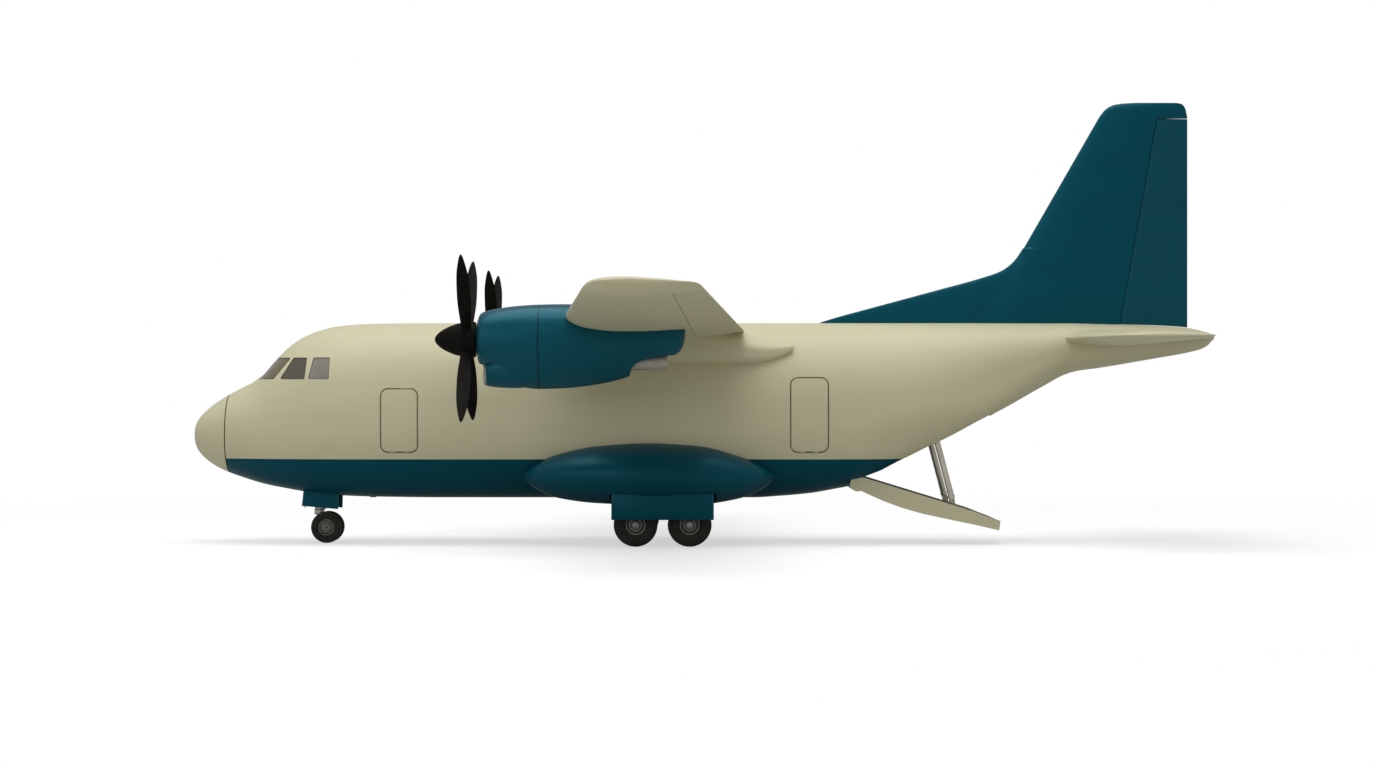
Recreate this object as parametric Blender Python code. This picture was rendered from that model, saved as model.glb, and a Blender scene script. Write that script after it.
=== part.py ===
"""A twin-turboprop, high-winged freighter with a loading ramp, standing on its wheels.

Metres, +Z up. The nose points to -X, the left side is at -Y, and the ground is at zero height.
X is zero halfway along the aircraft.
"""

import math

import bmesh
import bpy
import numpy as np
from mathutils import Matrix, Vector

# Driving dimensions
NOSE_TIP = Vector((-12.75, 0.0, 2.70))
TAIL_TIP = Vector((12.75, 0.0, 5.13))
WALL = 0.09
GAP = 0.0003
CLEARANCE = 0.008
PIN_GAP = 0.0009
PIN_RADIUS = 0.02
PIN_SIDES = 12
RING = 24
HALF_SPAN = 13.5
# Further out than any part of the hull
FAR_SIDE = 2.4
WING_BREAK = 2.05
FLOOR_TOP = 1.69
FLOOR_THICKNESS = 0.12
BULKHEAD_DOOR = (0.38, 2.59, 4.65)
FLOOR_STOP = 0.10
SIDES = (("left", -1), ("right", 1))

# Seams between the fuselage's sections, as distances aft
RADOME_SEAM = -11.86
NOSE_SEAM = -6.40
WING_SEAM = 1.30
TAIL_SEAM = 3.40
CONE_SEAM = 9.09

# The hull by stations: distance aft, top, bottom, half-width, height of the widest line, and how
# square the upper and the lower half are, where 2 is an ellipse
HULL = (
    (-12.70, 3.03, 2.37, 0.31, 2.70, 2.0, 2.0),
    (-12.53, 3.275, 2.11, 0.56, 2.68, 2.0, 2.0),
    (-12.26, 3.465, 1.92, 0.78, 2.67, 2.0, 2.0),
    (-11.96, 3.60, 1.785, 0.96, 2.66, 2.05, 2.05),
    (-11.50, 3.87, 1.62, 1.19, 2.68, 2.1, 2.1),
    (-11.12, 4.09, 1.50, 1.345, 2.70, 2.15, 2.15),
    (-10.74, 4.52, 1.41, 1.475, 2.75, 2.2, 2.2),
    (-10.415, 4.85, 1.35, 1.57, 2.80, 2.2, 2.2),
    (-10.09, 5.09, 1.29, 1.65, 2.85, 2.25, 2.25),
    (-9.655, 5.28, 1.23, 1.74, 2.92, 2.25, 2.3),
    (-9.17, 5.40, 1.185, 1.81, 2.98, 2.3, 2.3),
    (-8.52, 5.455, 1.155, 1.88, 3.05, 2.3, 2.35),
    (-7.70, 5.475, 1.14, 1.93, 3.12, 2.35, 2.4),
    (-6.60, 5.48, 1.13, 1.95, 3.20, 2.35, 2.4),
    (1.20, 5.48, 1.13, 1.95, 3.20, 2.35, 2.4),
    (1.875, 5.48, 1.17, 1.95, 3.20, 2.35, 2.5),
    (2.59, 5.48, 1.235, 1.945, 3.22, 2.35, 2.6),
    (3.31, 5.48, 1.36, 1.94, 3.25, 2.35, 2.75),
    (3.67, 5.48, 1.43, 1.93, 3.28, 2.35, 2.85),
    (4.22, 5.48, 1.52, 1.91, 3.36, 2.35, 2.45),
    (4.75, 5.48, 1.76, 1.88, 3.46, 2.35, 2.3),
    (5.35, 5.48, 2.09, 1.82, 3.60, 2.35, 2.4),
    (6.63, 5.48, 2.89, 1.61, 4.05, 2.35, 3.0),
    (7.60, 5.48, 3.46, 1.39, 4.40, 2.35, 2.8),
    (8.33, 5.48, 3.83, 1.22, 4.62, 2.3, 2.6),
    (9.09, 5.48, 4.28, 1.04, 4.85, 2.3, 2.4),
    (9.77, 5.465, 4.35, 0.88, 4.90, 2.3, 2.3),
    (11.20, 5.42, 4.59, 0.61, 5.00, 2.2, 2.2),
    (12.065, 5.36, 4.745, 0.46, 5.05, 2.1, 2.1),
    (12.495, 5.27, 4.87, 0.36, 5.08, 2.0, 2.0),
    (12.69, 5.20, 5.06, 0.22, 5.13, 2.0, 2.0),
)

# Doors in the sides: name, front and rear edge, sill and top
DOORS = (
    ("front_door", -7.93, -7.00, 2.28, 3.86),
    ("rear_door", 2.06, 3.01, 2.28, 4.13),
)
DOOR_CORNER = 0.19
DOOR_HINGE_OUT = 0.004
KNUCKLE_RADIUS = 0.011
LEAF_SHARES = (0.32, 0.68)
LEAF_HALF = 0.07

# Cockpit panes as side outlines (distance aft, height). The front pane runs on to the centre post
PANE_TOP = 4.61
PANE_SILL = 4.08
POST_HALF = 0.045
PANES = (
    ("front", ((-11.6, PANE_SILL), (-10.634, PANE_SILL), (-10.305, PANE_TOP), (-11.6, PANE_TOP))),
    ("middle", ((-10.46, PANE_SILL), (-9.875, PANE_SILL), (-9.82, PANE_TOP), (-10.147, PANE_TOP))),
    ("rear", ((-9.74, PANE_SILL), (-9.235, PANE_SILL), (-9.24, PANE_TOP), (-9.695, PANE_TOP))),
)

# The wing is one straight taper from the centreline to the tips
WING_LE = (-3.72, 0.0867)
WING_TE = (1.13, -0.0941)
WING_LE_Z = (5.28, 0.052)
WING_TE_Z = (5.12, 0.062)
WING_THICK = (0.92, -0.0459)
# The seat that is cut for it in the hull: front end and sill
SADDLE = (-3.95, 4.80)
# Its fairing on the hull: distance aft, top, bottom, half-width
FAIRING = (
    (-4.45, 5.42, 5.00, 1.30),
    (-4.05, 5.62, 4.62, 1.72),
    (-3.20, 5.86, 4.50, 1.98),
    (-2.00, 5.90, 4.46, 2.03),
    (-0.60, 5.78, 4.45, 2.03),
    (0.20, 5.62, 4.45, 2.02),
    (1.00, 5.26, 4.465, 1.96),
    (1.65, 5.01, 4.60, 1.74),
    (1.95, 4.92, 4.72, 1.58),
)
FAIRING_TIPS = ((-4.60, 0.0, 5.20), (2.12, 0.0, 4.85))
# Height of its widest line, as a share of the way up from its bottom
FAIRING_MID = 0.42
FLAP_LINE = 0.75
FLAP_SPAN = (2.14, 8.56)
AILERON_SPAN = (8.66, 12.80)
CONTROL_END_GAP = 0.02
CONTROL_PIN = 0.02
CONTROL_GAP = 0.02

# Tailplane: span from the centreline, leading edge, trailing edge, thickness
TAILPLANE = ((0.15, 8.67, 12.56, 0.42), (5.00, 9.83, 11.88, 0.23))
TAILPLANE_Z = 5.10
ELEVATOR_HINGE = 11.17
ELEVATOR_SPAN = (0.74, 4.86)

# Fin: height, leading edge, trailing edge, thickness
FIN_TE = 12.06
FIN = ((5.15, 6.83, 0.50), (10.62, 9.875, 0.24))
FIN_CAP = ((10.82, 10.01, 12.02, 0.215), (10.93, 10.20, 11.96, 0.15), (10.99, 10.745, 11.80, 0.05))
DORSAL = (
    (2.98, 5.50, 0.03),
    (4.05, 5.83, 0.09),
    (5.725, 6.30, 0.12),
    (6.795, 6.57, 0.14),
    (7.26, 6.69, 0.15),
    (7.60, 6.87, 0.15),
    (7.93, 7.205, 0.14),
    (8.27, 7.74, 0.10),
)
RUDDER_HINGE = ((10.445, 5.475), (11.35, 10.585))
RUDDER_TOP_GAP = 0.02
RUDDER_PIN = 0.08

# Engines and nacelles
ENGINE_Y = 4.70
HUB = Vector((-5.60, 0.0, 5.00))
PROP_BLADES = 4
# Blade sections: distance out, chord, thickness, twist from the disc's plane in degrees
BLADE = (
    (0.22, 0.16, 0.13, 86.0),
    (0.42, 0.236, 0.10, 85.0),
    (0.63, 0.264, 0.08, 84.0),
    (1.00, 0.312, 0.062, 83.0),
    (1.31, 0.328, 0.052, 82.0),
    (1.70, 0.314, 0.042, 80.0),
    (2.05, 0.28, 0.033, 78.0),
    (2.40, 0.185, 0.024, 76.0),
    (2.60, 0.103, 0.016, 75.0),
    (2.70, 0.03, 0.008, 75.0),
)
# A blade section's corners: along the chord and across it, as shares of chord and thickness
BLADE_CORNERS = ((0.5, 0.1), (0.25, 0.45), (-0.2, 0.5), (-0.5, 0.1), (-0.2, -0.4), (0.25, -0.35))
# Spinner: distance aft, radius
SPINNER = (
    (-5.40, 0.41),
    (-5.58, 0.405),
    (-5.76, 0.388),
    (-5.95, 0.333),
    (-6.14, 0.243),
    (-6.28, 0.136),
    (-6.335, 0.07),
    (-6.355, 0.0),
)
SHAFT_RADIUS = 0.10
GEARBOX_FRONT = -5.30
GEARBOX_RADIUS = 0.26
SHAFT_HOLE = 0.30
NACELLE_WALL = 0.05
NACELLE_RING = 18
# Nacelle stations: distance aft, top, bottom, half-width, height of the widest line
NACELLE = (
    (-5.35, 5.34, 4.60, 0.375, 4.97),
    (-5.27, 5.52, 4.44, 0.50, 4.97),
    (-5.10, 5.67, 4.33, 0.59, 4.97),
    (-4.85, 5.72, 4.20, 0.63, 4.96),
    (-4.50, 5.78, 3.93, 0.66, 4.95),
    (-3.91, 5.82, 3.84, 0.68, 4.94),
    (-3.30, 5.83, 3.86, 0.68, 4.95),
    (-2.60, 5.80, 3.94, 0.67, 4.98),
    (-1.90, 5.72, 4.10, 0.62, 5.02),
    (-1.30, 5.58, 4.42, 0.50, 5.08),
    (-0.85, 5.46, 4.62, 0.36, 5.12),
    (-0.53, 5.36, 4.84, 0.16, 5.15),
)
# Chin scoop under the nacelle's front: distance aft, top, bottom, half-width
SCOOP = (
    (-5.18, 4.475, 3.94, 0.33),
    (-5.10, 4.53, 3.91, 0.37),
    (-4.85, 4.68, 3.875, 0.43),
    (-4.50, 4.80, 3.86, 0.48),
    (-3.91, 4.80, 3.86, 0.48),
)
SCOOP_RING = 14
INTAKE = (-5.6, -4.8, 0.27, 3.99, 4.36)
# The engine's room keeps above the intake as far aft as this
INTAKE_ROOF = (-4.80, 4.50)
ENGINE_BLOCK = (-4.55, -3.75, 0.37, 4.34, 5.32)
EXHAUST_Z = 4.46
EXHAUST_END = -0.81
EXHAUST_RADIUS = 0.17

# Sponsons: distance aft, top, bottom, outer reach; their sections are centred at SPONSON_Y
SPONSON_Y = 1.55
SPONSON = (
    (-4.20, 1.98, 1.45, 2.00),
    (-3.60, 2.27, 1.22, 2.34),
    (-2.60, 2.48, 1.07, 2.62),
    (-1.40, 2.55, 1.02, 2.75),
    (-0.20, 2.48, 1.05, 2.69),
    (0.80, 2.22, 1.22, 2.40),
    (1.40, 1.95, 1.45, 2.05),
)
SPONSON_TIPS = ((-4.44, 1.70), (1.72, 1.70))
SPONSON_MID = 1.72
WELL = (-2.33, 0.27, 1.63, 2.47, 1.30)

# Wheels
MAIN_Y = 2.00
MAIN_AXLES = (("front", -1.70), ("rear", -0.385))
MAIN_TYRE = (0.535, 0.245, 0.30)
NOSE_AXLE = -9.43
NOSE_Y = 0.25
NOSE_TYRE = (0.39, 0.20, 0.20)
STEER_AXIS = -9.62
AXLE_RADIUS = 0.05
ROUND_SIDES = 20
MAIN_DOOR = (-2.29, 0.23, 2.405, 2.465, 0.67)
NOSE_DOOR = (-10.02, -9.12, 0.45, 0.48, 0.85)
NOSE_BAY = (-10.02, -9.12, 0.44)

# Ramp, drawn open, and the closed angle it folds up by
RAMP_HINGE = Vector((3.75, 0.0, 1.50))
RAMP_HALF = 1.20
RAMP_FOLD = math.radians(45.0)
RAMP_DRUM = 0.185
DRUM_SIDES = 36
RAMP_TOP = ((3.81, 1.678), (3.93, 1.648), (6.63, 0.82), (7.26, 0.575))
RAMP_FOOT = (7.19, 0.15)
OPENING_FRONT = 3.55
OPENING_SPLIT = 7.06
CARGO_DOOR_END = 8.96
CARGO_DOOR_WIDTHS = (1.08, 0.62)
CARGO_HINGE = Vector((8.975, 0.0, 4.31))
CARGO_PIN = (0.20, 0.34)
# The door's rear end leans forward above its hinge, so that its corners swing clear
CARGO_RELIEF = ((8.962, 4.30), (9.20, 4.30), (9.20, 4.70), (8.706, 4.70))

# Ramp struts: the trunnion on the wall, the pin on the ramp, and the sideways place
STRUT_TOP = Vector((5.55, 0.0, 3.15))
STRUT_PIN = Vector((6.09, 0.0, 1.09))
STRUT_Y = 1.09
ROD_RADIUS = 0.075
BARREL_RADIUS = 0.115
BARREL_HALF = 0.17

# Finishes: base colour, roughness, metallic
FINISHES = {
    "cream_paint": ((0.58, 0.54, 0.37), 0.4, 0.0),
    "teal_paint": ((0.0, 0.062, 0.10), 0.4, 0.0),
    "blade_black": ((0.02, 0.018, 0.017), 0.45, 0.0),
    "smoked_glass": ((0.12, 0.11, 0.09), 0.08, 0.0),
    "bare_metal": ((0.40, 0.39, 0.38), 0.35, 0.9),
    "exhaust_metal": ((0.36, 0.31, 0.31), 0.5, 0.8),
    "tyre_rubber": ((0.02, 0.02, 0.02), 0.85, 0.0),
    "deck_grey": ((0.22, 0.23, 0.23), 0.7, 0.0),
}

for leftover in list(bpy.data.objects):
    bpy.data.objects.remove(leftover, do_unlink=True)


def new_collection(name):
    """A collection of the scene."""
    group = bpy.data.collections.new(name)
    bpy.context.scene.collection.children.link(group)
    return group


AIRCRAFT = new_collection("turboprop_freighter")
CUTTERS = new_collection("cutters")


def finish(name):
    """The material of one finish, made once."""
    material = bpy.data.materials.get(name)
    if material:
        return material
    colour, roughness, metallic = FINISHES[name]
    material = bpy.data.materials.new(name)
    material.use_nodes = True
    shader = material.node_tree.nodes["Principled BSDF"]
    shader.inputs["Base Color"].default_value = (*colour, 1.0)
    shader.inputs["Roughness"].default_value = roughness
    shader.inputs["Metallic"].default_value = metallic
    return material


def add(name, bm, paint=None):
    """An object from a bmesh: a piece where it has a paint, and a cutter where it has none."""
    mesh = bpy.data.meshes.new(name)
    bmesh.ops.recalc_face_normals(bm, faces=bm.faces)
    bm.to_mesh(mesh)
    bm.free()
    obj = bpy.data.objects.new(name, mesh)
    if paint:
        mesh.materials.append(finish(paint))
        AIRCRAFT.objects.link(obj)
    else:
        obj.hide_render = True
        obj.display_type = "WIRE"
        CUTTERS.objects.link(obj)
    return obj


def boolean(obj, operation, *others):
    """Put Boolean modifiers on an object, one for each other object."""
    for other in others:
        modifier = obj.modifiers.new(other.name, "BOOLEAN")
        modifier.operation = operation
        modifier.solver = "EXACT"
        modifier.object = other
    return obj


def cut(obj, *others):
    """Take the other solids out of an object."""
    return boolean(obj, "DIFFERENCE", *others)


def fuse(obj, *others):
    """Join the other solids to an object."""
    return boolean(obj, "UNION", *others)


def keep_inside(obj, *others):
    """Keep what an object has in common with the others."""
    return boolean(obj, "INTERSECT", *others)


def settle(obj):
    """Apply an object's modifiers."""
    graph = bpy.context.evaluated_depsgraph_get()
    shape = bpy.data.meshes.new_from_object(obj.evaluated_get(graph))
    obj.modifiers.clear()
    obj.data = shape
    return obj


def grown(obj, name, gap):
    """A cutter: the object's shape with each face moved outwards by the gap."""
    bm = bmesh.new()
    bm.from_mesh(settle(obj).data)
    bmesh.ops.remove_doubles(bm, verts=bm.verts, dist=0.00001)
    bm.normal_update()
    moves = []
    for vertex in bm.verts:
        planes = np.array([face.normal for face in vertex.link_faces if face.calc_area() > 1e-10])
        shift = np.linalg.lstsq(planes, np.full(len(planes), gap), rcond=1e-3)[0]
        moves.append(Vector(shift))
    for vertex, move in zip(bm.verts, moves):
        vertex.co += move
    return add(name, bm)


def on_axis(obj, point):
    """Put an object's origin on its joint's axis, with its shape left where it is."""
    settle(obj)
    obj.data.transform(Matrix.Translation(-point))
    obj.location = point
    return obj


def smooth(obj, degrees=35.0):
    """Shade round faces smooth and keep edges sharper than the angle."""
    settle(obj)
    obj.data.shade_smooth()
    obj.data.set_sharp_from_angle(angle=math.radians(degrees))
    return obj


def loft(name, rings, paint=None, nose=None, tail=None):
    """A closed body through rings of points, with flat ends or ends drawn to a point.

    Each quad is split along the same diagonal, so bodies with an even gap between them stay clear.
    """
    bm = bmesh.new()
    rows = [[bm.verts.new(point) for point in ring] for ring in rings]
    for near, far in zip(rows, rows[1:]):
        for i in range(len(near)):
            j = (i + 1) % len(near)
            bm.faces.new((near[i], near[j], far[j]))
            bm.faces.new((near[i], far[j], far[i]))
    for row, tip in ((rows[0], nose), (rows[-1], tail)):
        if tip is None:
            bm.faces.new(row)
        else:
            point = bm.verts.new(tip)
            for i in range(len(row)):
                bm.faces.new((row[i], row[(i + 1) % len(row)], point))
    return add(name, bm, paint)


def oval(x, centre_y, mid, top, bottom, half, upper, lower, count):
    """A ring across X: two half superellipses that meet at the widest line."""
    ring = []
    for i in range(count):
        turn = 2.0 * math.pi * i / count
        across, up = math.sin(turn), math.cos(turn)
        power = 2.0 / (upper if up >= 0.0 else lower)
        reach = top - mid if up >= 0.0 else mid - bottom
        y = centre_y + half * math.copysign(abs(across) ** power, across)
        z = mid + reach * math.copysign(abs(up) ** power, up)
        ring.append(Vector((x, y, z)))
    return ring


def between(rows, x):
    """A row of a table read at x, along straight lines from row to row."""
    columns = list(zip(*rows))
    return [float(np.interp(x, columns[0], column)) for column in columns[1:]]


def hull_ring(x, inset=0.0):
    """The hull's outline at a station, drawn in by an inset."""
    top, bottom, half, mid, upper, lower = between(HULL, x)
    return oval(x, 0.0, mid, top - inset, bottom + inset, half - inset, upper, lower, RING)


def hull_body(name, start, end, inset=0.0, paint=None, nose=None, tail=None):
    """A solid length of the hull, with a ring at every station and seam inside it."""
    marks = sorted({row[0] for row in HULL} | {NOSE_SEAM, WING_SEAM, TAIL_SEAM})
    marks = [start] + [x for x in marks if start + 0.001 < x < end - 0.001] + [end]
    return loft(name, [hull_ring(x, inset) for x in marks], paint, nose, tail)


def block(name, x0, x1, y0, y1, z0, z1, paint=None, bevel=0.0):
    """A box between two corners, with its edges rounded by a bevel."""
    bm = bmesh.new()
    bmesh.ops.create_cube(bm, size=1.0)
    bmesh.ops.scale(bm, vec=(abs(x1 - x0), abs(y1 - y0), abs(z1 - z0)), verts=bm.verts)
    middle = Vector(((x0 + x1) / 2.0, (y0 + y1) / 2.0, (z0 + z1) / 2.0))
    bmesh.ops.translate(bm, vec=middle, verts=bm.verts)
    if bevel:
        bmesh.ops.bevel(bm, geom=bm.edges[:], offset=bevel, segments=2, affect="EDGES", profile=0.5)
    return add(name, bm, paint)


def rod(name, start, end, radius, paint=None, sides=ROUND_SIDES):
    """A cylinder between two points."""
    start, end = Vector(start), Vector(end)
    bm = bmesh.new()
    length = (end - start).length
    bmesh.ops.create_cone(
        bm, cap_ends=True, segments=sides, radius1=radius, radius2=radius, depth=length
    )
    turn = (end - start).to_track_quat("Z", "Y").to_matrix().to_4x4()
    bmesh.ops.transform(bm, matrix=Matrix.Translation((start + end) / 2.0) @ turn, verts=bm.verts)
    return add(name, bm, paint)


def prism(name, outline, low, high, axis="Y", paint=None):
    """A flat outline drawn out along Y or Z. The outline is in XZ for Y, and in XY for Z."""
    bm = bmesh.new()
    if axis == "Y":
        points = [(u, low, v) for u, v in outline]
        push = Vector((0.0, high - low, 0.0))
    else:
        points = [(u, v, low) for u, v in outline]
        push = Vector((0.0, 0.0, high - low))
    face = bm.faces.new([bm.verts.new(point) for point in points])
    drawn = bmesh.ops.extrude_face_region(bm, geom=[face])
    moved = [item for item in drawn["geom"] if isinstance(item, bmesh.types.BMVert)]
    bmesh.ops.translate(bm, vec=push, verts=moved)
    return add(name, bm, paint)


def rounded(outline, radius, steps=4):
    """The outline with each corner rounded by an arc."""
    result = []
    count = len(outline)
    for i in range(count):
        corner = Vector(outline[i])
        back = (Vector(outline[i - 1]) - corner).normalized()
        ahead = (Vector(outline[(i + 1) % count]) - corner).normalized()
        half = back.angle(ahead) / 2.0
        centre = corner + (back + ahead).normalized() * (radius / math.sin(half))
        start = corner + back * (radius / math.tan(half)) - centre
        end = corner + ahead * (radius / math.tan(half)) - centre
        sweep = start.angle_signed(end)
        for step in range(steps + 1):
            spoke = Matrix.Rotation(-sweep * step / steps, 2) @ start
            result.append(tuple(centre + spoke))
    return result


def spread(outline, distance):
    """The outline moved outwards on every side by a distance."""
    count = len(outline)
    points = [Vector(point) for point in outline]
    area = sum(points[i - 1].cross(points[i]) for i in range(count))
    turn = 1.0 if area > 0.0 else -1.0
    result = []
    for i in range(count):
        before = (points[i] - points[i - 1]).normalized()
        after = (points[(i + 1) % count] - points[i]).normalized()
        out_before = Vector((before.y, -before.x)) * turn
        out_after = Vector((after.y, -after.x)) * turn
        middle = (out_before + out_after).normalized()
        result.append(tuple(points[i] + middle * (distance / middle.dot(out_before))))
    return result


def pin(mover, carrier, name, start, end):
    """A hinge pin: part of the piece that moves, in a bore of the piece that carries it."""
    start, end = Vector(start), Vector(end)
    fuse(mover, rod(f"{name}_pin", start, end, PIN_RADIUS, sides=PIN_SIDES))
    deep = end + (end - start).normalized() * GAP
    cut(carrier, rod(f"{name}_bore", start, deep, PIN_RADIUS + PIN_GAP, sides=PIN_SIDES))


def turned(name, profile, centre, axis, paint=None, steps=24):
    """A turned body from a profile of (along the axis, radius) points.

    A profile that starts and ends on the axis is solid, and any other is closed to a ring.
    """
    bm = bmesh.new()
    rows = [bm.verts.new((radius, 0.0, along)) for along, radius in profile]
    ring = profile[0][1] > 0.0
    edges = [bm.edges.new(pair) for pair in zip(rows, rows[1:])]
    if ring:
        edges.append(bm.edges.new((rows[-1], rows[0])))
    bmesh.ops.spin(
        bm,
        geom=rows + edges,
        cent=(0.0, 0.0, 0.0),
        axis=(0.0, 0.0, 1.0),
        angle=2.0 * math.pi,
        steps=steps,
        use_merge=True,
    )
    bmesh.ops.remove_doubles(bm, verts=bm.verts, dist=0.00001)
    bmesh.ops.dissolve_degenerate(bm, dist=0.00001, edges=bm.edges)
    turn = Vector(axis).to_track_quat("Z", "Y").to_matrix().to_4x4()
    bmesh.ops.transform(bm, matrix=Matrix.Translation(centre) @ turn, verts=bm.verts)
    return add(name, bm, paint)


def foil_half(fraction):
    """Half the thickness of a wing section at a fraction of its chord, for a thickness of one."""
    root = 0.2969 * math.sqrt(fraction)
    rest = -0.1260 * fraction - 0.3516 * fraction**2 + 0.2843 * fraction**3 - 0.1036 * fraction**4
    return 5.0 * (root + rest)


FOIL_FRACTIONS = (0.0, 0.012, 0.05, 0.12, 0.25, 0.40, 0.60, 0.80, 1.0)
EDGE_HALF = 0.008


def foil_ring(front, rear, thickness, place):
    """A wing section between two chord ends, each (distance aft, height)."""
    upper = []
    lower = []
    for fraction in FOIL_FRACTIONS:
        x = front[0] + (rear[0] - front[0]) * fraction
        z = front[1] + (rear[1] - front[1]) * fraction
        half = foil_half(fraction) * thickness + EDGE_HALF * fraction
        upper.append(place(x, z + half))
        lower.append(place(x, z - half))
    return upper[::-1] + lower[1:]


def hinge_ring(front, rear, thickness, x, place, gap=0.0, cutter=False):
    """A control surface's section: a round nose on the hinge line, and flat sides to the edge.

    As a cutter it is the same nose with a gap round it, and all that lies behind.
    """
    fraction = (x - front[0]) / (rear[0] - front[0])
    z = front[1] + (rear[1] - front[1]) * fraction
    radius = (foil_half(fraction) * thickness + EDGE_HALF * fraction) * 0.985
    turns = [math.radians(a) for a in range(90, 271, 15 if cutter else 30)]
    if cutter:
        radius += gap
        nose = [place(x + radius * math.cos(a), z + radius * math.sin(a)) for a in turns]
        back = rear[0] + 0.6
        depth = 0.8
        corners = ((x, z - depth), (back, z - depth), (back, z + depth), (x, z + depth))
        return nose + [place(*corner) for corner in corners]
    slope = math.asin(min(0.5, (radius - EDGE_HALF) / (rear[0] - x)))
    turns[0] -= slope
    turns[-1] += slope
    nose = [place(x + radius * math.cos(a), z + radius * math.sin(a)) for a in turns]
    return nose + [place(rear[0], rear[1] - EDGE_HALF), place(rear[0], rear[1] + EDGE_HALF)]


def line(pair, span):
    """A straight taper: its value at the centreline and its change for each metre of span."""
    return pair[0] + pair[1] * span


def wing_chord(span):
    """Front and rear of the wing's section at a distance from the centreline, and its thickness."""
    front = (line(WING_LE, span), line(WING_LE_Z, span))
    rear = (line(WING_TE, span), line(WING_TE_Z, span))
    return front, rear, line(WING_THICK, span)


def wing_ring(span, side, shorten=0.0, thin=1.0, grow=0.0):
    """The wing's outline at a distance from the centreline, shortened at both ends at the tip."""
    front, rear, thickness = wing_chord(span)
    front = (front[0] + shorten - grow, front[1])
    rear = (rear[0] - shorten * 0.7 + grow, rear[1])
    return foil_ring(front, rear, thickness * thin + 2.0 * grow, lambda x, z: (x, side * span, z))


def wing_body(name, side, start, paint=None):
    """An outer wing with a rounded tip. Columns: span, shortening, thickness factor."""
    tip = (
        (12.90, 0.0, 1.0),
        (13.25, 0.09, 0.84),
        (13.43, 0.27, 0.52),
        (HALF_SPAN, 0.55, 0.12),
    )
    rings = [wing_ring(start, side)]
    rings += [wing_ring(span, side, shorten, thin) for span, shorten, thin in tip]
    return loft(name, rings, paint)


def wing_control(name, side, start, end, gap, paint=None):
    """A flap or an aileron of the wing, or its cutter."""
    rings = []
    for span in (start, end):
        front, rear, thickness = wing_chord(span)
        x = front[0] + (rear[0] - front[0]) * FLAP_LINE
        place = lambda u, v, span=span: (u, side * span, v)
        rings.append(hinge_ring(front, rear, thickness, x, place, gap, cutter=paint is None))
    return loft(name, rings, paint)


def hinge_point(span, side):
    """A point on the wing's hinge line."""
    front, rear, _ = wing_chord(span)
    x = front[0] + (rear[0] - front[0]) * FLAP_LINE
    z = front[1] + (rear[1] - front[1]) * FLAP_LINE
    return Vector((x, side * span, z))


def fuselage():
    """The hull's six sections, hollow, with the doors, panes, gear bay and rear opening cut."""
    cabin = hull_body("cabin_space", -12.53, 12.40, WALL)
    half = GAP / 2.0
    radome = hull_body("radome", -12.70, RADOME_SEAM - half, 0.0, "cream_paint", nose=NOSE_TIP)
    nose = hull_body("nose_section", RADOME_SEAM + half, NOSE_SEAM - half, 0.0, "cream_paint")
    centre = hull_body("centre_fuselage", NOSE_SEAM + half, WING_SEAM - half, 0.0, "cream_paint")
    aft = hull_body("aft_fuselage", WING_SEAM + half, TAIL_SEAM - half, 0.0, "cream_paint")
    tail = hull_body("tail_section", TAIL_SEAM + half, CONE_SEAM - half, 0.0, "cream_paint")
    cone = hull_body("tail_cone", CONE_SEAM + half, 12.69, 0.0, "cream_paint", tail=TAIL_TIP)
    for section in (radome, nose, centre, aft, tail, cone):
        cut(section, cabin)
    for name, panes in PANES:
        inner = POST_HALF if name == "front" else -FAR_SIDE
        for side in (-1, 1) if name == "front" else (1,):
            ends = sorted((side * inner, side * FAR_SIDE))
            cut(nose, prism(f"{name}_pane_cut_{side}", rounded(panes, 0.06, 1), *ends))
    x0, x1, half_bay = NOSE_BAY
    cut(nose, block("nose_bay_cut", x0, x1, -half_bay, half_bay, 0.9, 1.75))
    pad = rod("nose_jack_pad", (-8.30, 0.0, 1.08), (-8.30, 0.0, 1.20), 0.08)
    fuse(nose, pad)
    for name, x0, x1, z0, z1 in DOORS:
        outline = ((x0, z0), (x1, z0), (x1, z1), (x0, z1))
        hole = prism(f"{name}_cut", rounded(outline, DOOR_CORNER), -FAR_SIDE, FAR_SIDE)
        section = cut(nose if x1 < 0.0 else aft, hole)
        for side_name, side in SIDES:
            hinge = door_hinge(x0, x1, z0, side)
            for x in leaf_places(x0, x1):
                reach = LEAF_HALF + GAP
                ends = [Vector((x + end, hinge.y, hinge.z)) for end in (-reach, reach)]
                trough_name = f"knuckle_room_{name}_{side_name}_{x:.2f}"
                cut(section, rod(trough_name, *ends, KNUCKLE_RADIUS + PIN_GAP, sides=PIN_SIDES))
    front, sill = SADDLE
    cut(centre, block("wing_saddle_cut", front, WING_SEAM + 0.1, -FAR_SIDE, FAR_SIDE, sill, 6.2))
    opening = rear_opening("rear_opening_cut", RAMP_HALF + 0.01)
    cut(tail, opening)
    for name, side in SIDES:
        boss = (STRUT_TOP.x, side * (STRUT_Y + 0.14), STRUT_TOP.z)
        wall = (STRUT_TOP.x, side * 1.75, STRUT_TOP.z)
        fuse(tail, rod(f"strut_boss_{name}", boss, wall, 0.10))
        bore = (STRUT_TOP.x, side * (STRUT_Y + 0.34), STRUT_TOP.z)
        near = (STRUT_TOP.x, side * STRUT_Y, STRUT_TOP.z)
        cut(tail, rod(f"strut_bore_{name}", near, bore, 0.04 + PIN_GAP))
    for section in (radome, nose, centre, aft, tail, cone):
        smooth(section)


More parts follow.
